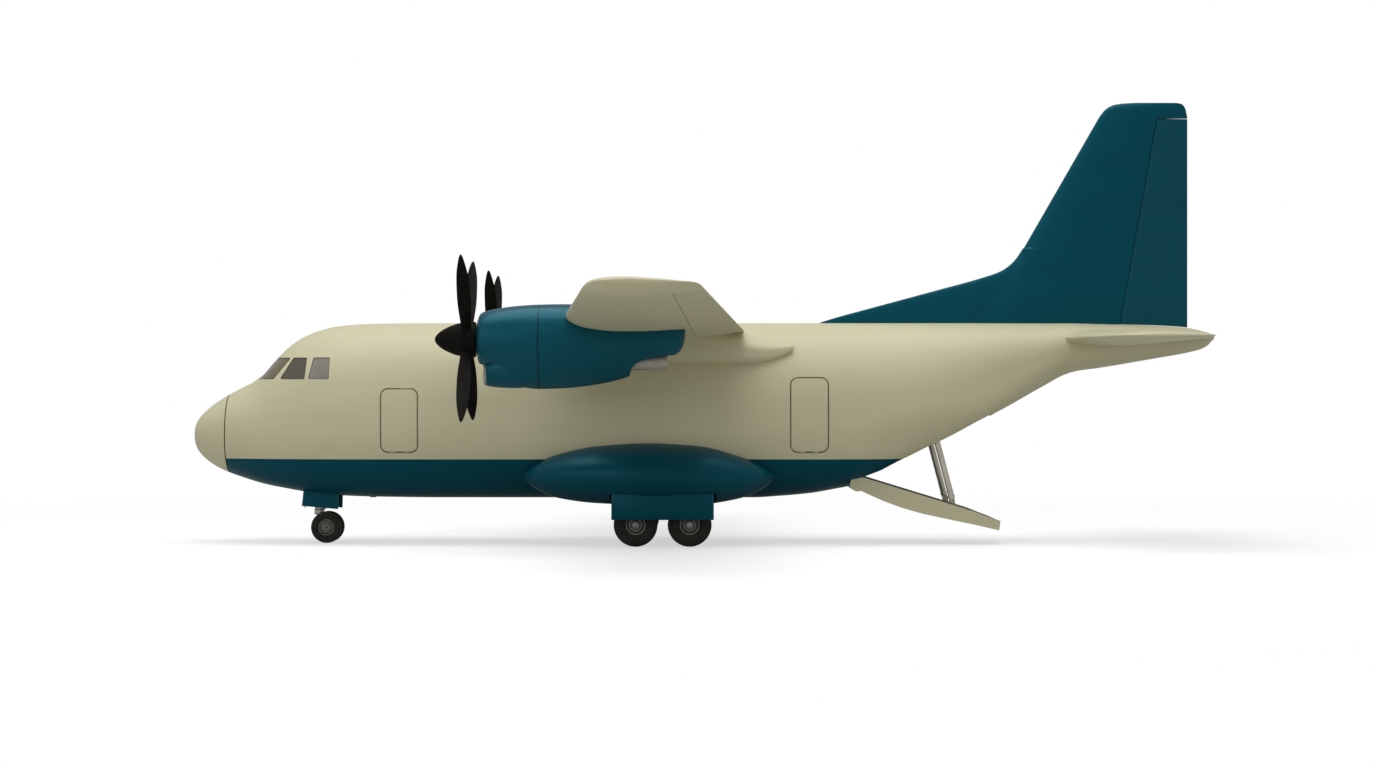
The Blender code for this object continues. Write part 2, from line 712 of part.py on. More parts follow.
def rear_opening(name, half):
    """The hole for the ramp and the cargo door, as a cutter that goes up only into the belly."""
    wide, narrow = CARGO_DOOR_WIDTHS
    edge = 0.01
    outline = (
        (OPENING_FRONT, -half),
        (OPENING_SPLIT - edge, -half),
        (OPENING_SPLIT - edge, -wide - edge),
        (CARGO_DOOR_END + edge, -narrow - edge),
        (CARGO_DOOR_END + edge, narrow + edge),
        (OPENING_SPLIT - edge, wide + edge),
        (OPENING_SPLIT - edge, half),
        (OPENING_FRONT, half),
    )
    return keep_inside(prism(name, outline, 0.9, 5.2, axis="Z"), opening_side("opening_side"))


def opening_side(name):
    """The side view of the rear opening's cutter, below a line inside the cabin."""
    outline = (
        (OPENING_FRONT - 0.2, 0.9),
        (9.4, 3.4),
        (9.4, 4.85),
        (7.0, 4.0),
        (5.0, 2.75),
        (3.9, 2.1),
        (OPENING_FRONT - 0.2, 1.9),
    )
    return prism(name, outline, -FAR_SIDE, FAR_SIDE)


def side_doors():
    """The four doors in the sides, each as thick as the wall, hinged along the sill."""
    skin = hull_body("door_skin", -8.6, 3.67)
    cut(skin, hull_body("door_room", -8.8, 3.8, WALL))
    for name, x0, x1, z0, z1 in DOORS:
        outline = ((x0, z0), (x1, z0), (x1, z1), (x0, z1))
        panel = spread(rounded(outline, DOOR_CORNER), -CLEARANCE)
        for side_name, side in SIDES:
            ends = sorted((side * 1.2, side * FAR_SIDE))
            door = prism(f"{name}_{side_name}", panel, *ends, paint="cream_paint")
            keep_inside(door, skin)
            hinge = door_hinge(x0, x1, z0, side)
            for x in leaf_places(x0, x1):
                leaf_name = f"{name}_{side_name}_{x:.2f}"
                ends = (x - LEAF_HALF, x + LEAF_HALF)
                outer = hinge.y + side * 0.004
                inner = outer - side * 0.046
                front = outer - side * 0.008
                leaf = block(f"leaf_{leaf_name}", *ends, inner, outer, hinge.z + 0.01, hinge.z + 0.09)
                strap = block(f"strap_{leaf_name}", *ends, front, outer, hinge.z, hinge.z + 0.05)
                axle = [Vector((end, hinge.y, hinge.z)) for end in ends]
                knuckle = rod(f"knuckle_{leaf_name}", *axle, KNUCKLE_RADIUS, sides=PIN_SIDES)
                fuse(door, leaf, strap, knuckle)
            smooth(on_axis(door, hinge))


def leaf_places(x0, x1):
    """Where the two hinge leaves of a side door are."""
    return [x0 + (x1 - x0) * share for share in LEAF_SHARES]


def hull_side(x, z):
    """How far out the hull's faceted side reaches at a station and height."""
    ring = hull_ring(x)[: RING // 2 + 1]
    heights = [point.z for point in ring][::-1]
    reaches = [point.y for point in ring][::-1]
    return float(np.interp(z, heights, reaches))


def door_hinge(x0, x1, sill, side):
    """A point on a side door's hinge line, just outside the sill."""
    marks = [x0, x1] + [row[0] for row in HULL if x0 < row[0] < x1]
    reach = max(hull_side(x, sill) for x in marks)
    return Vector(((x0 + x1) / 2.0, side * (reach + DOOR_HINGE_OUT), sill + CLEARANCE / 2.0))


def glazing():
    """The cockpit glass: a band inside the wall, with a pane in each window."""
    glass = hull_body("windscreen", -11.50, -8.52, WALL + GAP, "smoked_glass")
    cut(glass, hull_body("glass_room", -11.45, -8.4, WALL + 0.03))
    keep_inside(glass, block("glass_band", -11.6, -9.14, -2.0, 2.0, 4.02, 4.67))
    plates = hull_body("pane_skin", -11.96, -8.52, 0.012)
    cut(plates, hull_body("pane_room", -12.26, -8.4, WALL + 0.012))
    for name, panes in PANES:
        inner = POST_HALF + GAP if name == "front" else 0.6
        for side in (-1, 1):
            ends = sorted((side * inner, side * FAR_SIDE))
            outline = spread(rounded(panes, 0.06, 1), -GAP)
            pane = prism(f"{name}_pane_{side}", outline, *ends)
            fuse(glass, keep_inside(pane, plates))
    smooth(glass)


def floors():
    """The cabin floor with the bulkhead behind the pilots, and the flight deck with its fittings."""
    room = hull_body("floor_room", -11.7, 8.0, WALL + GAP)
    floor_end = RAMP_HINGE.x - FLOOR_STOP
    cabin = block(
        "cabin_floor", -8.40, floor_end, -2.2, 2.2, FLOOR_TOP - FLOOR_THICKNESS, FLOOR_TOP, "deck_grey"
    )
    fuse(cabin, block("bulkhead", -8.38, -8.30, -2.2, 2.2, FLOOR_TOP - 0.1, 5.6))
    half, low, high = BULKHEAD_DOOR
    cut(cabin, block("doorway", -8.6, -8.1, -half, half, low, high))
    keep_inside(cabin, room)
    trough = (RAMP_HINGE - Vector((0.0, 2.3, 0.0)), RAMP_HINGE + Vector((0.0, 2.3, 0.0)))
    cut(cabin, rod("drum_trough", *trough, RAMP_DRUM + PIN_GAP, sides=DRUM_SIDES))
    deck = block("flight_deck", -11.25, -8.42, -2.2, 2.2, 2.80, 2.88, "deck_grey")
    fuse(deck, block("panel", -10.95, -10.62, -2.2, 2.2, 2.85, 3.98))
    fuse(deck, block("pedestal", -10.70, -9.75, -0.16, 0.16, 2.85, 3.40))
    for name, side in SIDES:
        y = side * 0.56
        fuse(deck, block(f"seat_base_{name}", -9.80, -9.32, y - 0.18, y + 0.18, 2.85, 3.28))
        fuse(deck, block(f"seat_{name}", -9.86, -9.28, y - 0.25, y + 0.25, 3.24, 3.40))
        fuse(deck, block(f"seat_back_{name}", -9.40, -9.26, y - 0.24, y + 0.24, 3.30, 4.22))
    keep_inside(deck, room)
    settle(cabin)
    settle(deck)


def wings():
    """The wing centre with its fairing, the outer wings, flaps and ailerons."""
    skin = hull_body("hull_skin", -12.2, 12.6, -GAP)
    front, sill = SADDLE
    slot = block("saddle_room", front + GAP, WING_SEAM - GAP, -FAR_SIDE, FAR_SIDE, sill + GAP, 6.3)
    settle(cut(skin, slot))
    rings = [wing_ring(WING_BREAK, side) for _, side in SIDES]
    centre = loft("wing_centre", rings, "cream_paint")
    fairing_rings = []
    for x, top, low, half in FAIRING:
        mid = low + (top - low) * FAIRING_MID
        fairing_rings.append(oval(x, 0.0, mid, top, low, half, 2.6, 2.0, 20))
    front, rear = FAIRING_TIPS
    fairing = loft("fairing", fairing_rings, nose=front, tail=rear)
    crown = hull_body("crown", SADDLE[0] + GAP, WING_SEAM - GAP)
    keep_inside(crown, block("crown_room", -5.0, 2.0, -FAR_SIDE, FAR_SIDE, SADDLE[1] + GAP, 6.0))
    fuse(centre, fairing, crown)
    cut(centre, skin)
    smooth(centre)
    for name, side in SIDES:
        wing = wing_body(f"wing_{name}", side, WING_BREAK + GAP, "cream_paint")
        for control, span in (("flap", FLAP_SPAN), ("aileron", AILERON_SPAN)):
            start, end = span[0] - CONTROL_END_GAP, span[1] + CONTROL_END_GAP
            cut(wing, wing_control(f"{control}_cut_{name}", side, start, end, CONTROL_GAP))
        pad_y = side * 2.75
        fuse(wing, rod(f"wing_jack_pad_{name}", (-2.0, pad_y, 4.93), (-2.0, pad_y, 5.2), 0.07))
        for control, span in (("flap", FLAP_SPAN), ("aileron", AILERON_SPAN)):
            surface = wing_control(f"{control}_{name}", side, *span, 0.0, "cream_paint")
            for end, way in zip(span, (-1, 1)):
                near = hinge_point(end - way * CONTROL_PIN, side)
                far = hinge_point(end + way * (CONTROL_END_GAP + CONTROL_PIN), side)
                pin(surface, wing, f"{control}_{name}_{way}", near, far)
            smooth(on_axis(surface, hinge_point(span[0], side)))
        smooth(wing)


def propeller(name, side):
    """Hub, spinner and blades, turning on the engine's axis."""
    centre = Vector((HUB.x, side * ENGINE_Y, HUB.z))
    shaft = GEARBOX_FRONT - GAP - HUB.x
    base = SPINNER[0][0] - HUB.x
    profile = [(shaft, 0.0), (shaft, SHAFT_RADIUS), (base, SHAFT_RADIUS)]
    profile += [(x - HUB.x, radius) for x, radius in SPINNER]
    prop = turned(f"propeller_{name}", profile, centre, (1, 0, 0), "blade_black", 16)
    for blade in range(PROP_BLADES):
        turn = Matrix.Rotation(math.radians(45.0 + 360.0 * blade / PROP_BLADES), 3, "X")
        rings = []
        for out, chord, thickness, twist in BLADE:
            lean = Matrix.Rotation(math.radians(twist), 3, "Z")
            ring = []
            for u, v in BLADE_CORNERS:
                spun = lean @ Vector((v * thickness, u * chord, 0.0))
                ring.append(turn @ Vector((spun.x, spun.y, out)) + centre)
            rings.append(ring)
        fuse(prop, loft(f"blade_{name}_{blade}", rings))
    smooth(on_axis(prop, centre))


def nacelle_rings(y, wall=0.0):
    """The cowl's outlines, or with a wall those of the room in it, clear of the intake."""
    rings = []
    for x, top, low, half, mid in NACELLE[:-2] if wall else NACELLE:
        floor = low + wall
        if wall and x < INTAKE_ROOF[0]:
            floor = max(floor, INTAKE_ROOF[1])
        rings.append(oval(x, y, mid, top - wall, floor, half - wall, 2.2, 1.9, NACELLE_RING))
    return rings


def nacelles():
    """Engine blocks with their jet pipes, and the cowls round them, fitted under the wing."""
    for name, side in SIDES:
        y = side * ENGINE_Y
        x0, x1, half, z0, z1 = ENGINE_BLOCK
        engine = block(f"engine_{name}", x0, x1, y - half, y + half, z0, z1, "exhaust_metal")
        gearbox_end = (x0 + 0.1, y, HUB.z)
        fuse(engine, rod(f"gearbox_{name}", (GEARBOX_FRONT, y, HUB.z), gearbox_end, GEARBOX_RADIUS))
        pipe_start = (-3.8, y, EXHAUST_Z)
        pipe_end = (EXHAUST_END, y, EXHAUST_Z)
        fuse(engine, rod(f"jet_pipe_{name}", pipe_start, pipe_end, EXHAUST_RADIUS))
        bore_start = (-1.5, y, EXHAUST_Z)
        bore_end = (EXHAUST_END + 0.1, y, EXHAUST_Z)
        cut(engine, rod(f"pipe_bore_{name}", bore_start, bore_end, EXHAUST_RADIUS - 0.025))
        wing = bpy.data.objects[f"wing_{name}"]
        cowl = loft(f"nacelle_{name}", nacelle_rings(y), "teal_paint")
        scoop = []
        for x, top, low, half in SCOOP:
            scoop.append(oval(x, y, (top + low) / 2.0, top, low, half, 2.6, 2.6, SCOOP_RING))
        fuse(cowl, loft(f"chin_scoop_{name}", scoop))
        inner = nacelle_rings(y, NACELLE_WALL)
        inner[0] = [Vector((GEARBOX_FRONT + 0.01, point.y, point.z)) for point in inner[0]]
        space = loft(f"cowl_space_{name}", inner)
        cut(space, grown(wing, f"wing_wide_{name}", NACELLE_WALL))
        settle(space)
        cut(cowl, grown(wing, f"wing_clear_{name}", GAP))
        cut(cowl, space)
        cut(cowl, rod(f"shaft_hole_{name}", (-5.6, y, HUB.z), (-5.2, y, HUB.z), SHAFT_HOLE))
        x0, x1, half, z0, z1 = INTAKE
        mouth = rounded(((y - half, z0), (y + half, z0), (y + half, z1), (y - half, z1)), 0.12, 3)
        mouth_cut = prism(f"intake_cut_{name}", mouth, x0, x1, axis="Z")
        mouth_cut.data.transform(Matrix(((0, 0, 1, 0), (1, 0, 0, 0), (0, 1, 0, 0), (0, 0, 0, 1))))
        cut(cowl, mouth_cut)
        pipe_hole_end = (EXHAUST_END + 0.2, y, EXHAUST_Z)
        cut(cowl, rod(f"pipe_hole_{name}", (-2.4, y, EXHAUST_Z), pipe_hole_end, EXHAUST_RADIUS + GAP))
        settle(engine)
        smooth(cowl)
        propeller(name, side)


def fin_at(height):
    """Puts a fin section's (distance aft, sideways) points at a height."""
    return lambda x, side: (x, side, height)


def fin_chord(height):
    """The fin's leading edge and thickness at a height."""
    low, high = FIN
    share = (height - low[0]) / (high[0] - low[0])
    return low[1] + (high[1] - low[1]) * share, low[2] + (high[2] - low[2]) * share


def tail():
    """The fin with its dorsal ridge, the rudder, and the tailplane with its elevators."""
    rings = []
    for height, edge, thickness in FIN:
        rings.append(foil_ring((edge, 0.0), (FIN_TE, 0.0), thickness, fin_at(height)))
    for height, edge, trail, thickness in FIN_CAP:
        rings.append(foil_ring((edge, 0.0), (trail, 0.0), thickness, fin_at(height)))
    fin = loft("fin", rings, "teal_paint")
    ridge = []
    for x, top, half in DORSAL:
        low = 5.05
        crest = half * 0.35
        ring = [(x, -half - 0.03, low), (x, -half, top - (top - low) * 0.35), (x, -crest, top - 0.02)]
        ring += [(x, 0.0, top)]
        ring += [(px, -py, pz) for px, py, pz in ring[2::-1]]
        ridge.append(ring)
    fuse(fin, loft("dorsal_ridge", ridge))
    rudder_rings = []
    cut_rings = []
    for x, height in RUDDER_HINGE:
        edge, thickness = fin_chord(height)
        front, rear = (edge, 0.0), (FIN_TE, 0.0)
        rudder_rings.append(hinge_ring(front, rear, thickness, x, fin_at(height)))
    (x0, z0), (x1, z1) = RUDDER_HINGE
    slope = (x1 - x0) / (z1 - z0)
    for height in (z0 - 0.5, z1 + RUDDER_TOP_GAP):
        edge, thickness = fin_chord(height)
        x = x0 + slope * (height - z0)
        front, rear = (edge, 0.0), (FIN_TE, 0.0)
        cut_rings.append(hinge_ring(front, rear, thickness, x, fin_at(height), CONTROL_GAP, cutter=True))
    cut(fin, loft("rudder_cut", cut_rings))
    cut(fin, hull_body("fin_seat", 2.0, 12.69, -GAP))
    rudder = loft("rudder", rudder_rings, "teal_paint")
    low, high = Vector((x0, 0.0, z0)), Vector((x1, 0.0, z1))
    along = (high - low).normalized()
    cone = bpy.data.objects["tail_cone"]
    pin(rudder, fin, "rudder_top", high - along * CONTROL_PIN, high + along * RUDDER_PIN)
    pin(rudder, cone, "rudder_foot", low + along * CONTROL_PIN, low - along * RUDDER_PIN)
    smooth(cone)
    smooth(fin)
    smooth(on_axis(rudder, Vector((x0, 0.0, z0))))
    for name, side in SIDES:
        tailplane(name, side)


def tailplane(name, side):
    """One half of the tailplane, seated against the tail cone, and its elevator."""
    rings = []
    for span, edge, trail, thickness in TAILPLANE:
        place = lambda x, z, span=span: (x, side * span, z)
        rings.append(foil_ring((edge, TAILPLANE_Z), (trail, TAILPLANE_Z), thickness, place))
    # Rounding of the tip: span, leading edge, trailing edge, thickness
    for span, edge, trail, thickness in ((5.12, 9.90, 11.84, 0.17), (5.20, 10.15, 11.62, 0.05)):
        place = lambda x, z, span=span: (x, side * span, z)
        rings.append(foil_ring((edge, TAILPLANE_Z), (trail, TAILPLANE_Z), thickness, place))
    stabiliser = loft(f"stabiliser_{name}", rings, "cream_paint")
    inner, outer = ELEVATOR_SPAN
    room = (inner - CONTROL_END_GAP, outer + CONTROL_END_GAP)
    for start, end, paint in ((inner, outer, "cream_paint"), (*room, None)):
        rings = []
        for span in (start, end):
            edge, trail, thickness = between(TAILPLANE, span)
            place = lambda x, z, span=span: (x, side * span, z)
            front, rear = (edge, TAILPLANE_Z), (trail, TAILPLANE_Z)
            ring = hinge_ring(front, rear, thickness, ELEVATOR_HINGE, place, CONTROL_GAP, paint is None)
            rings.append(ring)
        if paint:
            elevator = loft(f"elevator_{name}", rings, paint)
        else:
            cut(stabiliser, loft(f"elevator_cut_{name}", rings))
    cut(stabiliser, hull_body(f"stabiliser_seat_{name}", 8.0, 12.69, -GAP))
    for end, way in zip(ELEVATOR_SPAN, (-1, 1)):
        near = (ELEVATOR_HINGE, side * (end - way * CONTROL_PIN), TAILPLANE_Z)
        far = (ELEVATOR_HINGE, side * (end + way * (CONTROL_END_GAP + CONTROL_PIN)), TAILPLANE_Z)
        pin(elevator, stabiliser, f"elevator_{name}_{way}", near, far)
    smooth(stabiliser)
    smooth(on_axis(elevator, Vector((ELEVATOR_HINGE, 0.0, TAILPLANE_Z))))


def sponsons():
    """The blisters that hold the main wheels, with the wheel wells cut into their undersides."""
    for name, side in SIDES:
        rings = []
        for x, top, bottom, reach in SPONSON:
            half = reach - SPONSON_Y
            rings.append(oval(x, side * SPONSON_Y, SPONSON_MID, top, bottom, half, 2.0, 2.0, 18))
        tips = [(x, side * (SPONSON_Y + 0.15), z) for x, z in SPONSON_TIPS]
        body = loft(f"sponson_{name}", rings, "teal_paint", nose=tips[0], tail=tips[1])
        cut(body, hull_body(f"sponson_seat_{name}", -6.0, 3.0, -GAP))
        x0, x1, y0, y1, roof = WELL
        cut(body, block(f"well_{name}", x0, x1, side * y0, side * y1, 0.5, roof))
        smooth(body)
        x0, x1, y0, y1, low = MAIN_DOOR
        block(f"main_gear_door_{name}", x0, x1, side * y0, side * y1, low, roof - GAP, "teal_paint")


def tyre_profile(size):
    """A tyre's outline as (along the axle, radius) points. The size is radius, bead and width."""
    radius, bead, width = size
    profile = []
    for share, reach in ((0.30, 0.0), (0.48, 0.25), (0.5, 0.62), (0.36, 0.94), (0.0, 1.0)):
        profile.append((-share * width, bead + (radius - bead) * reach))
    return profile + [(-along, out) for along, out in profile[-2::-1]]


def rim_profile(size, hub, middle=0.0):
    """A rim's outline from its hub out to the tyre's seat and back, about a place on the axle."""
    _, bead, width = size
    seat = bead - GAP
    half = (
        (0.45 * width, hub),
        (0.16 * width, seat - 0.05),
        (0.31 * width, seat),
    )
    profile = [(middle - along, out) for along, out in half]
    return profile + [(middle + along, out) for along, out in reversed(half)]


def main_gear():
    """Each side's leg with its two axles, and the wheels in tandem on them."""
    for name, side in SIDES:
        height = MAIN_TYRE[0]
        roof = WELL[4] - GAP
        beam_y = side * 1.74
        middle = (MAIN_AXLES[0][1] + MAIN_AXLES[1][1]) / 2.0
        leg = block(
            f"main_gear_leg_{name}",
            MAIN_AXLES[0][1] - 0.07,
            MAIN_AXLES[1][1] + 0.07,
            beam_y - 0.05,
            beam_y + 0.05,
            height - 0.07,
            height + 0.07,
            "bare_metal",
        )
        post = (middle, beam_y, roof)
        fuse(leg, rod(f"post_{name}", (middle, beam_y, height), post, 0.085, sides=16))
        brace_foot = (MAIN_AXLES[0][1] + 0.10, beam_y, height)
        brace_head = (middle + 0.02, beam_y, roof - 0.12)
        fuse(leg, rod(f"brace_{name}", brace_foot, brace_head, 0.04, sides=12))
        for place, x in MAIN_AXLES:
            start = (x, beam_y, height)
            end = (x, side * (MAIN_Y + 0.15), height)
            fuse(leg, rod(f"axle_{name}_{place}", start, end, AXLE_RADIUS))
            centre = Vector((x, side * MAIN_Y, height))
            tyre_name = f"main_tyre_{place}_{name}"
            tyre = turned(tyre_name, tyre_profile(MAIN_TYRE), centre, (0, 1, 0), "tyre_rubber", ROUND_SIDES)
            bore = AXLE_RADIUS + PIN_GAP
            end = 0.45 * MAIN_TYRE[2]
            profile = rim_profile(MAIN_TYRE, bore + 0.035) + [(end, bore), (-end, bore)]
            rim = turned(f"main_rim_{place}_{name}", profile, centre, (0, 1, 0), "bare_metal", ROUND_SIDES)
            smooth(on_axis(tyre, centre))
            smooth(on_axis(rim, centre))
        settle(leg)


def nose_gear():
    """The nose leg, the steered fork, the twin wheels on their axle, and the two open doors."""
    deck_under = 2.80 - GAP
    knuckle = 0.83
    leg = rod("nose_gear_leg", (STEER_AXIS, 0, knuckle), (STEER_AXIS, 0, deck_under), 0.11, "bare_metal")
    fuse(leg, block("bay_roof", -10.10, -9.04, -0.50, 0.50, 1.60, 1.63))
    drag_foot = (STEER_AXIS, 0.0, 1.05)
    fuse(leg, rod("drag_strut", drag_foot, (-10.0, 0.0, 1.62), 0.04, sides=12))
    settle(leg)
    axle_height = NOSE_TYRE[0]
    fork = rod(
        "nose_gear_fork",
        (STEER_AXIS, 0, knuckle - 0.14),
        (STEER_AXIS, 0, knuckle - GAP),
        0.085,
        "bare_metal",
    )
    foot = (NOSE_AXLE, 0.0, axle_height)
    fuse(fork, rod("trailing_arm", (STEER_AXIS + 0.01, 0, knuckle - 0.09), foot, 0.055, sides=12))
    eye_low, eye_high = (NOSE_AXLE, -0.06, axle_height), (NOSE_AXLE, 0.06, axle_height)
    fuse(fork, rod("axle_eye", eye_low, eye_high, 0.095))
    axle = 0.045
    bore_low, bore_high = (NOSE_AXLE, -0.2, axle_height), (NOSE_AXLE, 0.2, axle_height)
    cut(fork, rod("axle_eye_bore", bore_low, bore_high, axle + PIN_GAP))
    on_axis(fork, Vector((STEER_AXIS, 0.0, axle_height)))
    centre = Vector((NOSE_AXLE, 0.0, axle_height))
    reach = NOSE_Y + 0.10
    profile = [(-reach, 0.0), (-reach, axle)]
    for _, side in SIDES:
        middle = side * NOSE_Y
        hub_half = 0.45 * NOSE_TYRE[2]
        profile += [(middle - hub_half, axle)] + rim_profile(NOSE_TYRE, axle + 0.02, middle)
        profile += [(middle + hub_half, axle)]
    profile += [(reach, axle), (reach, 0.0)]
    rims = turned("nose_rims", profile, centre, (0, 1, 0), "bare_metal", ROUND_SIDES)
    smooth(on_axis(rims, centre))
    for name, side in SIDES:
        hub = Vector((NOSE_AXLE, side * NOSE_Y, axle_height))
        profile = tyre_profile(NOSE_TYRE)
        tyre = turned(f"nose_tyre_{name}", profile, hub, (0, 1, 0), "tyre_rubber", ROUND_SIDES)
        smooth(on_axis(tyre, centre))
        x0, x1, y0, y1, low = NOSE_DOOR
        door = block(f"nose_gear_door_{name}", x0, x1, side * y0, side * y1, low, 1.5, "teal_paint")
        cut(door, hull_body(f"nose_door_seat_{name}", -11.5, -8.0, -GAP))
        settle(door)


def ramp():
    """The loading ramp, drawn open, cut from the hull's closed outline turned down on its hinge."""
    outline = list(RAMP_TOP) + [RAMP_FOOT, (RAMP_HINGE.x, 0.1), (RAMP_HINGE.x, RAMP_HINGE.z)]
    panel = prism("ramp", outline, -RAMP_HALF, RAMP_HALF, paint="cream_paint")
    belly = hull_body("ramp_belly", 3.2, 8.4)
    down = Matrix.Translation(RAMP_HINGE) @ Matrix.Rotation(RAMP_FOLD, 4, "Y")
    belly.data.transform(down @ Matrix.Translation(-RAMP_HINGE))
    keep_inside(panel, belly)
    drum_low = (RAMP_HINGE.x, -RAMP_HALF, RAMP_HINGE.z)
    drum_high = (RAMP_HINGE.x, RAMP_HALF, RAMP_HINGE.z)
    fuse(panel, rod("ramp_drum", drum_low, drum_high, RAMP_DRUM, sides=DRUM_SIDES))
    for name, side in SIDES:
        x, z = STRUT_PIN.x, STRUT_PIN.z
        y = side * (STRUT_Y - 0.13)
        lug = ((x - 0.12, z - 0.30), (x + 0.12, z - 0.35), (x + 0.06, z + 0.06), (x - 0.06, z + 0.06))
        ends = sorted((y - 0.025, y + 0.025))
        fuse(panel, prism(f"strut_lug_{name}", rounded(lug, 0.04, 2), *ends))
    smooth(on_axis(panel, RAMP_HINGE))


def cargo_door():
    """The panel behind the ramp, closed, hinged at its rear end to swing up inside."""
    wide, narrow = CARGO_DOOR_WIDTHS
    outline = (
        (OPENING_SPLIT, -wide),
        (CARGO_DOOR_END, -narrow),
        (CARGO_DOOR_END, narrow),
        (OPENING_SPLIT, wide),
    )
    door = prism("aft_cargo_door", outline, 2.8, 4.85, axis="Z", paint="cream_paint")
    skin = hull_body("cargo_door_skin", 6.0, CONE_SEAM + 0.4)
    cut(skin, hull_body("cargo_door_room", 5.9, CONE_SEAM + 0.6, WALL))
    keep_inside(door, skin)
    cut(door, prism("cargo_door_relief", CARGO_RELIEF, -1.0, 1.0))
    tail = bpy.data.objects["tail_section"]
    for name, side in SIDES:
        far = CARGO_HINGE + Vector((0.0, side * CARGO_PIN[0], 0.0))
        near = CARGO_HINGE + Vector((0.0, side * CARGO_PIN[1], 0.0))
        pin(door, tail, f"cargo_door_{name}", far, near)
    smooth(tail)
    smooth(on_axis(door, CARGO_HINGE))


def struts():
    """The telescoping struts that hold the ramp: a swinging barrel on each wall, and its rod."""
    lean = (STRUT_PIN - STRUT_TOP).normalized()
    for name, side in SIDES:
        shift = Vector((0.0, side * STRUT_Y, 0.0))
        top, pin = STRUT_TOP + shift, STRUT_PIN + shift
        barrel = rod(
            f"ramp_strut_barrel_{name}",
            top - lean * BARREL_HALF,
            top + lean * BARREL_HALF,
            BARREL_RADIUS,
            "bare_metal",
        )
        outward = Vector((0.0, side, 0.0))
        fuse(barrel, rod(f"trunnion_{name}", top + outward * 0.09, top + outward * 0.32, 0.04))
        bore = (top - lean * 0.5, top + lean * 0.5)
        cut(barrel, rod(f"barrel_bore_{name}", *bore, ROD_RADIUS + PIN_GAP))
        smooth(on_axis(barrel, top))
        rod_top = top - lean * (BARREL_HALF - 0.01)
        slider = rod(f"ramp_strut_rod_{name}", rod_top, pin - lean * 0.03, ROD_RADIUS, "bare_metal")
        eye = (pin - outward * 0.08, pin + outward * 0.06)
        fuse(slider, rod(f"rod_eye_{name}", *eye, 0.06, sides=16))
        smooth(on_axis(slider, pin))


fuselage()
side_doors()
glazing()
floors()
wings()
nacelles()
tail()
sponsons()
main_gear()
nose_gear()
ramp()
cargo_door()
struts()
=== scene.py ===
# %% [markdown]
# # A twin-turboprop freighter
# This lesson dresses a full-size freight aeroplane: 25.5 m long, with a high wing, two turboprop
# engines and a loading ramp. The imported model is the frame. It fixes where each piece is and how
# it moves, and each cell below builds the finished surface of one piece around it.
# The nose points to -X, the left side is at -Y, and the wheels stand at zero height.

# %% Load the frame
import math

import bmesh
import bpy
import numpy as np
from mathutils import Matrix, Vector


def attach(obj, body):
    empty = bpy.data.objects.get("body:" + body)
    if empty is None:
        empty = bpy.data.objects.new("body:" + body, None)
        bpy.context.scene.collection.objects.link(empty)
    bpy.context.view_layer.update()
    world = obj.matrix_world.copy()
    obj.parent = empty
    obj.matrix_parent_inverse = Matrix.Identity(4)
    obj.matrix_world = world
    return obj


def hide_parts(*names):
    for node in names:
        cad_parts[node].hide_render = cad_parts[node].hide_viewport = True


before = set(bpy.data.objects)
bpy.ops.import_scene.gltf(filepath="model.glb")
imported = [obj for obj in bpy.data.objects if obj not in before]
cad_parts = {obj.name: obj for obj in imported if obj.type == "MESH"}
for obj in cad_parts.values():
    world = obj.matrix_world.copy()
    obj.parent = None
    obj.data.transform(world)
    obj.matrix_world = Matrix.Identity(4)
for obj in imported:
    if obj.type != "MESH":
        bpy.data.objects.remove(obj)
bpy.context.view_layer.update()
SIDES = (("left", -1), ("right", 1))

# %% [markdown]
# ## Camera
# The picture looks square at the left side. Lines that run away from the viewer converge at its
# centre, so the camera has no tilt. The wing's tip looks 1.22 times as large as the fuselage
# behind it, and that puts the camera about 74 m away, with a long lens.

# %% Camera
CAMERA_PLACE = (-0.425, -73.7, 3.96)
LENS_MM, SENSOR_MM = 77.1, 36.0
FAR_CLIP = 3000.0

lens = bpy.data.cameras.new("side_camera")
lens.lens = LENS_MM
lens.sensor_width = SENSOR_MM
lens.clip_end = FAR_CLIP
camera = bpy.data.objects.new("side_camera", lens)
camera.location = CAMERA_PLACE
camera.rotation_euler = (math.radians(90.0), 0.0, 0.0)
bpy.context.scene.collection.objects.link(camera)
bpy.context.scene.camera = camera

# %% [markdown]
# ## Reading tables as smooth curves
# A hull is described by a short table of stations. Straight steps between them would leave
# creases, so each column is read along a monotone cubic curve: it passes through every station
# and never swings past one, so a flat stretch stays flat.

# %% Smooth tables


def smooth_read(xs, ys, x):
    """The value at x of a monotone cubic curve through the points."""
    xs, ys = np.asarray(xs, float), np.asarray(ys, float)
    steps = np.diff(xs)
    slopes = np.diff(ys) / steps
    tangents = np.zeros(len(xs))
    for i in range(1, len(xs) - 1):
        before, after = slopes[i - 1], slopes[i]
        if before * after > 0.0:
            w1 = 2.0 * steps[i] + steps[i - 1]
            w2 = steps[i] + 2.0 * steps[i - 1]
            tangents[i] = (w1 + w2) / (w1 / before + w2 / after)
    tangents[0], tangents[-1] = slopes[0], slopes[-1]
    i = int(np.clip(np.searchsorted(xs, x) - 1, 0, len(xs) - 2))
    t = float(np.clip((x - xs[i]) / steps[i], 0.0, 1.0))
    rise = ys[i] * (2 * t**3 - 3 * t**2 + 1) + ys[i + 1] * (3 * t**2 - 2 * t**3)
    bend = tangents[i] * (t**3 - 2 * t**2 + t) + tangents[i + 1] * (t**3 - t**2)
    return float(rise + steps[i] * bend)


def row_at(rows, x):
    """All columns of a table after its first, read at x."""
    columns = list(zip(*rows))
    return [smooth_read(columns[0], column, x) for column in columns[1:]]


